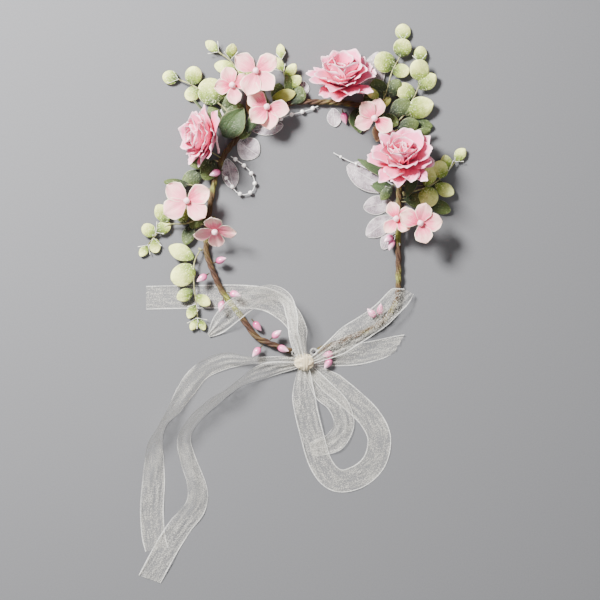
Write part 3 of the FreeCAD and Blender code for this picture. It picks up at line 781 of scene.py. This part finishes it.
# ---- petals ----
def add_petal(work, axes, length, width, rng, cup, curl, ruffle, notch, number, rows=11, columns=11):
    """A fan-shaped petal: narrow foot, wide notched tip, rolled and frilled rim."""
    phase = rng.uniform(0, 2 * math.pi)
    sway = rng.uniform(-0.08, 0.08)
    points, traits = [], []
    for i in range(rows):
        s = i / (rows - 1)
        half = width / 2 * (0.24 + 0.76 * math.sin(math.pi / 2 * s ** 0.85)) * (1 - 0.34 * s ** 6)
        row, row_traits = [], []
        for j in range(columns):
            t = 2 * j / (columns - 1) - 1
            dip = notch * s ** 4 * math.exp(-(t / 0.24) ** 2)
            x = length * (s - 0.17 * s ** 3 * t * t - dip)
            y = half * t + sway * length * s * s
            frill = math.sin(phase + 4.6 * t + 2 * s) + 0.45 * math.sin(2.1 * phase + 11 * t)
            z = cup * half * t * t + curl * length * s * s
            z += ruffle * length * s ** 3 * (0.35 + abs(t) ** 1.5) * frill
            z -= 0.5 * ruffle * length * s ** 8
            row.append(axes @ Vector((x, y, z)))
            row_traits.append((s, max(abs(t) ** 2 * (0.4 + 0.6 * s), s ** 2), number))
        points.append(row)
        traits.append(row_traits)
    work.grid(points, traits)


def add_round_petal(work, axes, length, width, rng, cup, curl, number, rows=13, columns=11):
    """A rounded petal with a drawn-out tip, an uneven snipped rim and a shallow midrib."""
    phase = rng.uniform(0, 2 * math.pi)
    points, traits = [], []
    for i in range(rows):
        s = 0.015 + 0.975 * i / (rows - 1)
        outline = math.sin(math.pi * s ** 1.3) ** 0.58
        half = width / 2 * outline
        row, row_traits = [], []
        for j in range(columns):
            t = 2 * j / (columns - 1) - 1
            snip = 1 + 0.055 * t * t * math.sin(phase + 19 * s)
            x = length * s * (1 + 0.05 * s ** 6 * (1 - abs(t)))
            y = half * t * snip
            z = cup * half * t * t + curl * length * s * s
            z += 0.05 * length * s * math.sin(phase + 3.2 * t + 3 * s) * (0.3 + abs(t))
            z -= 0.04 * length * math.sin(math.pi * s) * math.exp(-(t / 0.16) ** 2)
            row.append(axes @ Vector((x, y, z)))
            row_traits.append((s, max(abs(t) ** 3, s ** 9), number))
        points.append(row)
        traits.append(row_traits)
    work.grid(points, traits)


# ---- peonies ----
# name: (base, azimuth and tilt of its axis, outer radius, pitch added to the outer petals)
PEONIES = {
    "peony_top": ((34, 117, 12.5), 90, 42, 30, 0),
    "peony_right": ((84, 50, 17), 88, 38, 30, 2),
    "peony_left": ((-73.5, 73, 17), 180, 60, 27, 12),
}
# petals in each ring, length as a share of the outer radius, width share, pitch, rise, cup, curl, ruffle
PEONY_RINGS = [
    (8, 1.00, 0.60, 10, 0.5, 0.24, 0.14, 0.060),
    (8, 0.98, 0.64, 25, 1.3, 0.28, 0.08, 0.060),
    (7, 0.95, 0.74, 42, 2.1, 0.34, 0.03, 0.060),
    (5, 0.92, 0.92, 58, 2.8, 0.44, 0.00, 0.055),
    (4, 0.86, 1.06, 72, 3.4, 0.56, 0.04, 0.055),
    (4, 0.72, 1.06, 86, 3.8, 0.70, 0.08, 0.070),
]
PEONY_BORE = 0.0016
PETAL_THICKNESS = 0.00025

for seed, (name, (base, azimuth, tilt, radius, extra_pitch)) in enumerate(PEONIES.items()):
    rng = random.Random(31 + seed)
    flower = flower_frame(base, azimuth, tilt)
    work = Sheetwork()
    for ring, (count, share, breadth, pitch, rise, cup, curl, ruffle) in enumerate(PEONY_RINGS):
        depth = ring / (len(PEONY_RINGS) - 1)
        for k in range(count):
            angle = 360 / count * (k + 0.5 * (ring % 2)) + rng.uniform(-9, 9)
            lift = pitch + extra_pitch * (1 - depth) + rng.uniform(-7, 7)
            axes = petal_frame(flower, angle, lift, PEONY_BORE, rise * MM)
            length = radius * MM * share * rng.uniform(0.9, 1.06)
            width = length * breadth * rng.uniform(0.88, 1.1)
            notch = rng.choice((0.06, -0.09, -0.12)) * (1 - 0.6 * depth)
            number = min(max(depth + rng.uniform(-0.15, 0.15), 0.0), 1.0)
            bend = curl * rng.uniform(0.0, 1.5)
            add_petal(work, axes, length, width, rng, cup, bend, ruffle, notch, number)
    keep_above_floor(work)
    petals = work.make(f"{name}_bloom", PETAL_THICKNESS, 1)
    layers = [f"{name}_{layer}_petals" for layer in ("outer", "middle", "inner")]
    finish_piece(petals, peony_cloth, layers)
    paint_node(f"{name}_heart", flower_heart)


# ---- blossoms ----
# name: (base, azimuth and tilt of its axis, reach, petal angles)
BLOSSOMS = {
    "blossom_top": ((-38, 128, 24), 0, 0, 20, (-48, 35, 145, 250)),
    "blossom_top_back": ((-58, 117, 17), 0, 0, 15, (20, 110, 190, 280)),
    "blossom_top_inner": ((-29, 99, 15.5), 0, 0, 18, (-82, -8, 145, 225)),
    "blossom_left": ((-96, 20, 19), 0, 0, 20, (-43, 27, 141, 211)),
    "blossom_left_side": ((-72.5, -4, 20), 270, 50, 17, (5, 95, 185, 275)),
    "blossom_top_right": ((61, 89, 19), 0, 0, 16, (-35, 75, 130, 200)),
    "blossom_right_inner": ((80, 5, 16), 170, 12, 14, (60, 150, 215, 300)),
    "blossom_right": ((99, 1, 24), 0, 0, 17, (-75, 5, 75, 155)),
}
BLOSSOM_PITCH = 9
BLOSSOM_BORE = 0.0008
PIP_RISE = 0.0030
PIP_RADIUS = 0.0026


def add_pip(work, axes, rng):
    """The four closed lobes of a blossom's centre."""
    rings, sides = 10, 20
    turned = rng.uniform(0, math.pi)
    rows = []
    for i in range(rings):
        rise = math.pi * (0.02 + 0.96 * i / (rings - 1))
        row = []
        for j in range(sides):
            turn = 2 * math.pi * j / sides
            lobed = 1 + 0.13 * math.sin(rise) * abs(math.sin(2 * turn + turned))
            reach = PIP_RADIUS * math.sin(rise) * lobed
            row.append(axes @ Vector((
                reach * math.cos(turn), reach * math.sin(turn), PIP_RISE - PIP_RADIUS * 1.05 * math.cos(rise))))
        rows.append(row)
    work.tube(rows, [i / rings for i in range(rings)], 0.5, rings)


for seed, (name, (base, azimuth, tilt, reach, angles)) in enumerate(BLOSSOMS.items()):
    rng = random.Random(71 + seed)
    flower = flower_frame(base, azimuth, tilt)
    work = Sheetwork()
    for order, angle in enumerate(angles):
        pitch = BLOSSOM_PITCH + rng.uniform(-5, 8)
        axes = petal_frame(flower, angle, pitch, BLOSSOM_BORE, 0.0002 + 0.0003 * order)
        length = reach * MM * rng.uniform(0.97, 1.05)
        add_round_petal(work, axes, length, length * rng.uniform(0.82, 0.94), rng, rng.uniform(0.08, 0.2),
                        rng.uniform(-0.10, 0.04), rng.random())
    keep_above_floor(work)
    petals = work.make(f"{name}_bloom", PETAL_THICKNESS, 1)
    finish_piece(petals, blossom_cloth, [f"{name}_petals"])
    pip = Sheetwork()
    add_pip(pip, flower, rng)
    centre = dress(pip.make(f"{name}_pip", levels=1), flower_heart)
    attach(centre, frame["nodes"][f"{name}_stem"]["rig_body"])
    paint_node(f"{name}_stem", stem_green)


# ---- leaves ----
def leaf_rows(axes, length, width, rng, rows, columns, outline,
              serration=0.0, cup=-0.22, curl=-0.08, fold=0.0):
    """Rows of a leaf blade: its outline gives the half width as a share at each place along it."""
    phase = rng.uniform(0, 2 * math.pi)
    bend = rng.uniform(-0.06, 0.06)
    number = rng.random()
    points, traits, places = [], [], []
    for i in range(rows):
        s = (1 - math.cos(math.pi * (0.06 + 0.9 * i / (rows - 1)))) / 2
        half = width / 2 * outline(s)
        row, row_traits, row_places = [], [], []
        for j in range(columns):
            t = 2 * j / (columns - 1) - 1
            teeth = 1 + serration * t * t * math.sin(phase + 46 * s)
            z = cup * half * t * t + curl * length * s * s + fold * half * abs(t)
            z += 0.02 * length * math.sin(phase + 2.5 * t + 4 * s)
            row.append(axes @ Vector((length * s, half * t * teeth + bend * length * s * (1 - s), z)))
            row_traits.append((s, max(abs(t) ** 4, s ** 12), number))
            row_places.append((j / (columns - 1), s))
        points.append(row)
        traits.append(row_traits)
        places.append(row_places)
    return points, traits, places


def oval(s):
    return math.sqrt(max(4 * s * (1 - s), 0.0))


def pointed(s):
    return math.sin(math.pi * s ** 0.85) ** 0.85


def obovate(s):
    return math.sin(math.pi * s ** 1.12) ** 0.62


SPRIGS = ["sprig_top_left", "sprig_top", "sprig_left", "sprig_lower_left", "sprig_top_right",
          "sprig_upper_right", "sprig_right", "sprig_centre"]
LEAF_THICKNESS = 0.0006
LEAF_FULLNESS = 1.12         # a leaf's moulded rim stands this much outside its flat plate
STAMEN_LEAF_LENGTH = 0.0125  # a leaf shorter than this has two stamens at its foot
STAMEN_LENGTH = 0.009
STAMEN_RADII = [0.00022, 0.0002, 0.0002, 0.0002, 0.0002, 0.00042, 0.0003]
ORGANZA_THICKNESS = 0.00012
EDGE_WIRE_RADIUS = 0.0002
MIDRIB_WIRE_RADIUS = 0.00016


def is_plate(points):
    """True for a leaf plate, which is thin and wide. A stalk is either thicker or narrower."""
    centre, (longest, middle, normal) = principal_axes(points)
    low, high = spread(points, centre, middle)
    thin_low, thin_high = spread(points, centre, normal)
    return (thin_high - thin_low) < 0.0012 and (high - low) > 0.004


def stalk_copy(name, solids):
    """The CAD stalk of a sprig as a piece of its own."""
    points, triangles = [], []
    for corners, faces in solids:
        triangles.extend(tuple(corner + len(points) for corner in face) for face in faces)
        points.extend(corners)
    mesh = bpy.data.meshes.new(name)
    mesh.from_pydata([tuple(point) for point in points], [], triangles)
    mesh.shade_smooth()
    return linked(name, mesh)


for seed, name in enumerate(SPRIGS):
    rng = random.Random(131 + seed)
    groups = islands(name)
    plates = [points for points, triangles in groups if is_plate(points)]
    stalks = [group for group in groups if not is_plate(group[0])]
    roots = search_tree([point for points, triangles in stalks for point in points])
    work = Sheetwork()
    stamens = Sheetwork()
    for plate in plates:
        axes, length, width = leaf_axes(plate, roots)
        outline = oval if width > 0.8 * length else obovate
        work.grid(*leaf_rows(axes, length * LEAF_FULLNESS, width * LEAF_FULLNESS, rng, 13, 9, outline))
        if length < STAMEN_LEAF_LENGTH:
            along = (axes.to_3x3() @ Vector((1, 0, 0))).normalized()
            side = (axes.to_3x3() @ Vector((0, 1, 0))).normalized()
            start = axes.translation - along * 0.0006
            for turn in (rng.uniform(0.5, 0.9), rng.uniform(-0.9, -0.5)):
                heading = (along * math.cos(turn) + side * math.sin(turn)).normalized()
                reach = STAMEN_LENGTH * rng.uniform(0.7, 1.1)
                path = [
                    start + heading * reach * k / 6 + Vector((0, 0, 0.0006 * math.sin(k))) for k in range(7)
                ]
                for point in path:
                    point.z = max(point.z, 0.0006)
                add_rod(stamens, path, STAMEN_RADII, rng.random(), 6)
    keep_above_floor(work)
    finish_piece(work.make(f"{name}_leaves", LEAF_THICKNESS, 1), eucalyptus, [name])
    finish_piece(stalk_copy(f"{name}_stalk", stalks), sprig_stalk, [name])
    if stamens.points:
        finish_piece(stamens.make(f"{name}_stamens"), stamen_tone, [name])

band_points = [vert.co.copy() for node in ("band_tape_wrap", "right_arm_tape_wrap")
               for vert in frame["nodes"][node].data.vertices]
band_tree = search_tree(band_points)

for seed, name in enumerate(("rose_leaves_left", "rose_leaves_right")):
    rng = random.Random(171 + seed)
    work = Sheetwork()
    for plate, triangles in islands(name):
        axes, length, width = leaf_axes(plate, band_tree)
        work.grid(*leaf_rows(axes, length, width * 1.06, rng, 25, 9, pointed, 0.05, 0.05, -0.08, 0.22))
    keep_above_floor(work)
    foliage = work.make(name.replace("leaves", "foliage"), LEAF_THICKNESS, 1)
    finish_piece(foliage, rose_leaf, [name])


# Leaves wound in behind the flowers, the near-black first kind standing in as painted shade, in millimetres and
# degrees:
# middle of the leaf, azimuth, pitch and roll, length and width
UNDERGROWTH = {
    # Near-black leaves whose darkness is painted shade between the flowers.
    "painted_shade": [
        ((-56, 93, 4.5), 62, 6, 8, 23, 18), ((-4, 110, 7), 58, 8, -10, 17, 15), ((-10, 118, 8), 100, 14, 20, 19, 9),
        ((65, 114, 7), 104, 10, 5, 21, 17), ((78, 116, 7), 58, 8, 0, 17, 14), ((83, 99, 8), 42, 10, 0, 21, 15),
        ((90, 84, 8), 18, 6, 5, 19, 14), ((74, 89, 9), -28, 4, 10, 17, 12), ((98, 73, 9), 34, 10, 25, 27, 13),
        ((117, 16, 4), -24, 8, 10, 20, 12), ((96, 22, 5), -8, 8, 0, 19, 13), ((-86, 57, 9), 214, 8, 10, 21, 18),
        ((-78, 47, 9), 244, 8, -8, 19, 15), ((-88, 6, 4.5), 236, 6, 0, 20, 13), ((-96, -7, 4.5), 252, 8, 15, 19, 12),
        ((-105, 36, 10), 172, 10, 20, 22, 9), ((-47, 79, 7), 230, 5, 0, 15, 8), ((72, 28, 7), 232, 4, 0, 16, 9),
        ((-61, 102, 4), 78, 5, 0, 21, 16), ((-73, 93, 4), 118, 5, 5, 20, 12), ((-92, 41, 4), 204, 5, 0, 20, 14),
        ((-104, 23, 4), 188, 5, 10, 21, 14), ((96, 101, 4), 34, 5, 0, 21, 16), ((113, 33, 4), -6, 5, 0, 20, 14),
        ((58, 108, 4), 60, 5, 0, 19, 12), ((-20, 112, 4), 84, 6, 0, 18, 13), ((101, 84, 4), 4, 5, 0, 20, 14),
    ],
    "rose": [((-40, 90, 9), 62, 6, 20, 26, 10), ((58, 97, 8), 196, 4, 0, 24, 13), ((92, 34, 9), 250, 5, 15, 22, 10)],
    "tawny": [((-42, 103, 5), 248, 8, 10, 18, 12), ((66, 79, 6), 252, 6, 0, 17, 13)],
    "lime": [((-15, 110, 9), 12, 6, 0, 20, 11), ((-37, 109, 4), 168, 4, 0, 16, 9), ((69, 104, 5), 30, 8, 0, 15, 9)],
}
UNDERGROWTH_LOOKS = {"painted_shade": painted_shade_leaf, "rose": rose_leaf, "tawny": tawny_leaf, "lime": lime_leaf}


def leaf_frame(middle, azimuth, pitch, roll, length):
    """Axes at the foot of a leaf whose middle, azimuth, pitch and roll are given."""
    turn = (
        Matrix.Rotation(math.radians(azimuth), 4, "Z")
        @ Matrix.Rotation(math.radians(-pitch), 4, "Y")
        @ Matrix.Rotation(math.radians(roll), 4, "X")
    )
    return Matrix.Translation(mm(*middle)) @ turn @ Matrix.Translation((-length / 2, 0, 0))


for seed, (kind, leaves) in enumerate(UNDERGROWTH.items()):
    rng = random.Random(181 + seed)
    work = Sheetwork()
    stalks = Sheetwork()
    for middle, azimuth, pitch, roll, length, width in leaves:
        axes = leaf_frame(middle, azimuth, pitch, roll, length * MM)
        outline = pointed if kind in ("rose", "tawny") else obovate
        teeth = 0.05 if kind == "rose" else 0.0
        work.grid(*leaf_rows(axes, length * MM, width * MM, rng, 17, 9, outline, teeth))
        foot = axes.translation
        root = centre_line[nearest_index(foot)]
        path = [foot.lerp(root, share) for share in (-0.1, 0.3, 0.7, 1.0)]
        add_rod(stalks, path, [0.0003, 0.0004, 0.0005, 0.0005], 0.3, 8)
    keep_above_floor(work)
    for obj, look in ((work.make(f"undergrowth_{kind}", LEAF_THICKNESS, 1), UNDERGROWTH_LOOKS[kind]),
                      (stalks.make(f"undergrowth_{kind}_stalks"), sprig_stalk)):
        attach(dress(obj, look), "root")


def add_wire(work, path, radius):
    add_rod(work, path, [radius] * len(path), 0.0, 6)


for seed, name in enumerate(("organza_leaves_left", "organza_leaves_right", "organza_leaves_top")):
    rng = random.Random(191 + seed)
    film = Sheetwork()
    wires = Sheetwork()
    for plate, triangles in islands(name):
        axes, length, width = leaf_axes(plate, band_tree)
        rows, traits, places = leaf_rows(axes, length, width, rng, 17, 9, obovate, 0.0, 0.03, 0.02, 0.03)
        for row in rows:
            for point in row:
                point.z = max(point.z, 0.0005)
        film.grid(rows, traits, places)
        outline = [row[0] for row in rows] + [row[-1] for row in reversed(rows)]
        add_wire(wires, outline, EDGE_WIRE_RADIUS)
        add_wire(wires, [row[len(row) // 2] for row in rows], MIDRIB_WIRE_RADIUS)
    sheer = film.make(name.replace("leaves", "film"), ORGANZA_THICKNESS)
    finish_piece(sheer, organza_leaf, [name])
    finish_piece(wires.make(name.replace("leaves", "wires")), leaf_wire, [name])


# ---- buds ----
BUD_RADIUS = 0.0031
BUD_NECK_RADII = [0.0006, 0.0005, 0.0007, 0.0011]
TWIG_RADII = [0.0006, 0.0007, 0.0006, 0.0006, 0.0005, 0.0004]


def add_bud(work, stalks, points, rng):
    """A teardrop bud on a thin stalk, in place of its CAD solid."""
    centre, (along, middle, shortest) = principal_axes(points)
    low, high = spread(points, centre, along)
    length = high - low

    def girth(near):
        ring = [p for p in points if abs((p - centre).dot(along) - near) < 0.15 * length]
        return max(((p - centre) - along * (p - centre).dot(along)).length for p in ring) if ring else 0.0

    if girth(low) > girth(high):
        along, low, high = -along, -high, -low
    foot, tip = centre + along * low, centre + along * high
    number = rng.random()
    rings, sides = 15, 16
    path, radii = [], []
    for i in range(rings):
        s = i / (rings - 1)
        path.append(foot.lerp(tip, 0.22 + 0.8 * s))
        radii.append(max(BUD_RADIUS * math.sin(math.pi * s ** 0.72) ** 0.8, 0.00015))
    rows = rod_rows(path, radii, sides)
    pinch = rng.uniform(0, math.pi)
    for i, row in enumerate(rows):
        for j, point in enumerate(row):
            crease = 0.04 * math.cos(3 * 2 * math.pi * j / sides + pinch)
            row[j] = path[i] + (point - path[i]) * (1 + crease)
    work.tube(rows, [i / (rings - 1) for i in range(rings)], number, rings)
    add_rod(stalks, [foot.lerp(tip, share) for share in (0.0, 0.1, 0.2, 0.28)], BUD_NECK_RADII, number, 8)


for seed, name in enumerate(("buds_band", "buds_right_arm")):
    rng = random.Random(211 + seed)
    work = Sheetwork()
    stalks = Sheetwork()
    for group, triangles in islands(name):
        centre, axes = principal_axes(group)
        low, high = spread(group, centre, axes[1])
        if high - low > 0.004:
            add_bud(work, stalks, group, rng)
        else:
            low, high = spread(group, centre, axes[0])
            twig = [centre + axes[0] * (low + (high - low) * k / 5) for k in range(6)]
            add_rod(stalks, twig, TWIG_RADII, 0.3, 8)
    finish_piece(work.make(f"{name}_pods", levels=1), bud_gloss, [name])
    finish_piece(stalks.make(f"{name}_stalks", levels=1), bud_stalk, [name])


# ---- ribbons ----
RIBBON_WIDTH = 0.020
PLEATS = 3
TIGHTEST_GATHER = 0.12
# Stations in millimetres and degrees: x, y, space under the lower edge, azimuth of the width, lean, gather
TAIL_UPPER_FLAT = [
    (-132, -61, 0.1, 90, 0, 1), (-110, -60.5, 0.1, 90, 0, 1), (-80, -60, 0.1, 90, 0, 1),
    (-50, -60, 0.1, 88, 0, 1), (-28, -63, 0.2, 68, 3, 1), (-12, -74, 0.8, 35, 12, 0.95),
    (-3, -88, 4.0, 12, 10, 0.75), (-1, -99, 6.8, 5, 0, 0.5), (1, -112.5, 6.4, 0, 0, 0.35),
]
TAIL_UPPER_OVER = [
    (-79, -93, 1.0, 120, 5, 0.15), (-70, -84, 2.6, 126, 20, 0.8), (-58, -72.5, 7.0, 128, 22, 1),
    (-42, -62, 5.5, 118, 35, 1), (-26, -57, 2.8, 95, 48, 1), (-13, -62, 3.6, 45, 58, 1),
    (-8, -75, 6.6, 12, 62, 1), (-7, -90, 8.8, 6, 50, 0.7), (-4, -101, 9.2, 5, 20, 0.5),
    (-1, -112.5, 8.0, 0, 0, 0.3),
]
TAIL_LOWER_OUTER = [
    (-3, -114.5, 3.4, 100, 40, 0.3), (-28, -114, 0.8, 95, 62, 0.7), (-48, -113.5, 0.5, 92, 55, 0.8),
    (-66, -114.5, 0.5, 105, 40, 0.9), (-84, -123, 0.4, 138, 38, 1), (-98, -140, 0.4, 158, 42, 1),
    (-108, -156, 0.3, 165, 58, 1), (-118, -170, 0.2, 160, 74, 1), (-124, -187, 0.2, 176, 55, 1),
    (-125, -212, 0.2, 180, 25, 1), (-127, -240, 0.2, 182, 6, 1), (-126, -262, 0.1, 186, 0, 1),
    (-123, -275, 0.1, 190, 0, 1),
]
TAIL_LOWER_INNER = [
    (-3, -117.5, 2.4, 90, 25, 0.3), (-26, -122, 0.6, 96, 40, 0.8), (-42, -127, 0.5, 120, 56, 0.9),
    (-60, -139, 0.3, 132, 72, 1), (-76, -150, 0.3, 136, 68, 1), (-90, -163, 0.3, 146, 62, 1),
    (-99, -180, 0.3, 176, 58, 1), (-95, -200, 0.3, 193, 52, 1), (-88, -222, 0.3, 192, 40, 1),
    (-90, -238, 0.5, 160, 26, 1), (-103, -255, 0.9, 150, 8, 1), (-115, -274, 1.0, 152, 0, 1),
    (-129, -300, 0.8, 160, 0, 1),
]
LOOP_LOWER_OUTER = [
    (2, -117.5, 5.0, 180, 0, 0.4), (2, -146, 3.8, 186, 0, 1), (9, -178, 2.6, 192, 0, 1),
    (17, -203, 1.2, 200, 0, 1), (30, -216, 0.3, 245, 0, 1), (48, -213, 0.2, 297, 0, 1),
    (62, -200, 0.2, 330, 0, 1), (66, -180, 0.2, 368, 0, 1), (58, -163, 0.2, 402, 0, 1),
    (44, -149, 0.3, 408, 0, 1), (26, -134, 0.4, 405, 0, 1), (6, -119, 1.8, 395, 0, 0.4),
]
LOOP_LOWER_INNER = [
    (4, -119, 2.8, 225, 0, 0.4), (18, -139, 2.2, 220, 0, 0.9), (31, -152, 2.0, 205, 8, 0.9),
    (36, -168, 1.6, 180, 10, 0.9), (29, -182, 1.2, 140, 6, 0.9), (19, -187, 0.9, 115, 0, 0.8),
    (8, -190, 0.6, 100, 0, 0.6),
]
LOOP_RIGHT_UPPER = [
    (8, -115, 6.0, 150, 0, 0.3), (27, -104, 7.2, 135, 0, 0.8), (40, -94, 7.3, 125, 0, 1),
    (54, -85, 7.6, 122, 5, 1), (68, -75, 7.8, 125, 8, 1), (82, -61, 7.0, 132, 8, 1),
    (91, -56, 4.0, 150, 30, 0.6),
]
LOOP_RIGHT_LOWER = [
    (9, -116, 2.6, 84, 0, 0.3), (42, -110, 0.2, 78, 0, 0.9), (58, -107, 0.2, 75, 0, 1),
    (74, -103, 0.2, 68, 0, 1), (83, -100, 0.2, 60, 8, 0.9),
]


def add_ribbon(work, stations, seed, columns=25):
    """One ply of ribbon. Where it is gathered it keeps its width, drawn up into pleats. Gives its length."""
    rng = random.Random(seed)
    phase = rng.uniform(0, 2 * math.pi)
    rows, traits, places = [], [], []
    dense = catmull_rom(stations, 10)
    centres = [mm(x, y, 0) for x, y, clearance, across, lean, gather in dense]
    run = 0.0
    for index, (x, y, clearance, across, lean, gather) in enumerate(dense):
        if index:
            run += (centres[index] - centres[index - 1]).length
        gather = min(max(gather, TIGHTEST_GATHER), 1.0)
        turn, rise = math.radians(across), math.radians(lean)
        width_way = Vector((math.cos(turn) * math.cos(rise), math.sin(turn) * math.cos(rise), math.sin(rise)))
        half = width_way * (RIBBON_WIDTH / 2 * gather)
        low = max(clearance, 0.25) * MM
        centre = Vector((x * MM, y * MM, low + abs(half.z)))
        along = centres[min(index + 1, len(dense) - 1)] - centres[max(index - 1, 0)]
        face = width_way.cross(along).normalized()
        if face.z < 0:
            face = -face
        span = RIBBON_WIDTH * gather
        depth = span / (math.pi * PLEATS) * math.sqrt(max(1 / gather ** 2 - 1, 0.0)) * 0.45
        row, row_traits, row_places = [], [], []
        for j in range(columns):
            t = 2 * j / (columns - 1) - 1
            pleat = depth * math.sin(math.pi * PLEATS * t + phase + 3 * math.sin(run * 24))
            ripple = 0.0003 * math.sin(phase + run * 130 + 2.2 * t) * (0.4 + abs(t))
            ripple += 0.0011 * noise.noise(Vector((run * 60, t * 1.7, seed)))
            point = centre + half * t + face * (pleat + ripple)
            point.z = max(point.z, 0.0003)
            row.append(point)
            row_traits.append((run, abs(t), max(1 - gather, 0.7 * math.sin(rise) ** 2)))
            row_places.append(((t + 1) / 2, run / RIBBON_WIDTH))
        rows.append(row)
        traits.append(row_traits)
        places.append(row_places)
    work.grid(rows, traits, places)
    return run


def ribbon_piece(name, plies, node, seed):
    """One length of ribbon, of one or more plies."""
    work = Sheetwork()
    length = sum(add_ribbon(work, stations, seed + k) for k, stations in enumerate(plies))
    obj = dress(work.make(name), ribbon_cloth, [node])
    return obj


# In millimetres
KNOT_CENTRE = (2.2, -115.4, 5.4)
KNOT_HALF = (9.2, 8.2, 5.2)


def add_knot(work):
    """The knot: soft bundled folds across, and one gathered ply wrapped over their middle."""
    centre = mm(*KNOT_CENTRE)
    size = mm(*KNOT_HALF)
    rings, sides = 33, 40
    rows, alongs = [], []
    for i in range(rings):
        u = -0.97 + 1.94 * i / (rings - 1)
        waist = 0.84 + 0.16 * abs(u) ** 1.2
        closing = math.sqrt(1 - u * u)
        row = []
        for j in range(sides):
            turn = 2 * math.pi * j / sides
            folds = 1 + 0.13 * math.cos(6 * turn + 3.4 * u) + 0.07 * math.cos(11 * turn - 5 * u)
            reach = waist * closing * folds * 0.9
            row.append(centre + Vector((
                0.92 * u * size.x, size.y * reach * math.cos(turn), size.z * reach * math.sin(turn))))
        rows.append(row)
        alongs.append(u)
    work.tube(rows, alongs, 0.4, rings)
    wrap_rows, wrap_traits, wrap_places = [], [], []
    columns = 15
    for i in range(sides):
        turn = 2 * math.pi * i / sides
        row, row_traits, row_places = [], [], []
        for j in range(columns):
            t = 2 * j / (columns - 1) - 1
            bulge = 0.92 * math.sqrt(1 - 0.55 * t * t) + 0.05 * math.cos(9 * t + 2 * math.sin(turn))
            row.append(centre + Vector((
                0.42 * size.x * t + 0.12 * size.x * math.sin(turn),
                size.y * bulge * math.cos(turn), size.z * bulge * math.sin(turn))))
            row_traits.append((t, abs(t), 0.3))
            row_places.append(((t + 1) / 2, i / sides * 2))
        wrap_rows.append(row)
        wrap_traits.append(row_traits)
        wrap_places.append(row_places)
    wrap_rows.append([point.copy() for point in wrap_rows[0]])
    wrap_traits.append(wrap_traits[0])
    wrap_places.append([(u, 2.0) for u, v in wrap_places[0]])
    work.grid(wrap_rows, wrap_traits, wrap_places)


knot = Sheetwork()
add_knot(knot)
finish_piece(knot.make("bow_knot_folds"), knot_cloth, ["bow_knot"])

# name: (plies, CAD node, how it is held, seed)
ROOT_RIBBONS = {
    "tail_upper_flat": ([TAIL_UPPER_FLAT], "ribbon_tail_upper_flat", "laid", 301),
    "tail_upper_over": ([TAIL_UPPER_OVER], "ribbon_tail_upper_over", "laid", 311),
    "tail_lower_outer": ([TAIL_LOWER_OUTER], "ribbon_tail_lower_outer", "laid", 321),
    "tail_lower_inner": ([TAIL_LOWER_INNER], "ribbon_tail_lower_inner", "laid", 331),
    "loop_lower": ([LOOP_LOWER_OUTER, LOOP_LOWER_INNER], "bow_loops_lower", "folded", 341),
}
for name, (plies, node, held, seed) in ROOT_RIBBONS.items():
    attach(ribbon_piece(name, plies, node, seed), "root")
loop_right = ribbon_piece(
    "loop_right", [LOOP_RIGHT_UPPER, LOOP_RIGHT_LOWER], "bow_loops_right", 351)
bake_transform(loop_right)


# ---- floor and lights ----
FLOOR_REACH = 3.0


def floor():
    mesh = bpy.data.meshes.new("floor")
    corners = [(x * FLOOR_REACH, y * FLOOR_REACH, 0) for x, y in ((-1, -1), (1, -1), (1, 1), (-1, 1))]
    mesh.from_pydata(corners, [], [(0, 1, 2, 3)])
    obj = linked("floor", mesh)
    look = Look("floor_paper", Roughness=0.9)
    grain = look.noise(look.object_place(), 900.0, 2.0)
    look.set("Base Color", look.ramp(grain, (0.3, colour(100, 100, 102)), (0.7, colour(105, 105, 107))))
    mesh.materials.append(look.material)


def area_light(name, place, target, size, energy):
    data = bpy.data.lights.new(name, "AREA")
    data.shape = "DISK"
    data.size = size
    data.energy = energy
    obj = linked(name, data)
    obj.location = place
    obj.rotation_euler = (Vector(target) - Vector(place)).to_track_quat("-Z", "Y").to_euler()


floor()
area_light("key_light", (-0.62, 0.6, 0.85), (0, 0, 0), 0.36, 72)
area_light("fill_light", (0.9, -0.7, 1.3), (0, 0, 0), 1.2, 4)
world = bpy.data.worlds.new("studio")
world.use_nodes = True
world.node_tree.nodes["Background"].inputs["Color"].default_value = (1, 1, 1, 1)
world.node_tree.nodes["Background"].inputs["Strength"].default_value = 0.44
bpy.context.scene.world = world
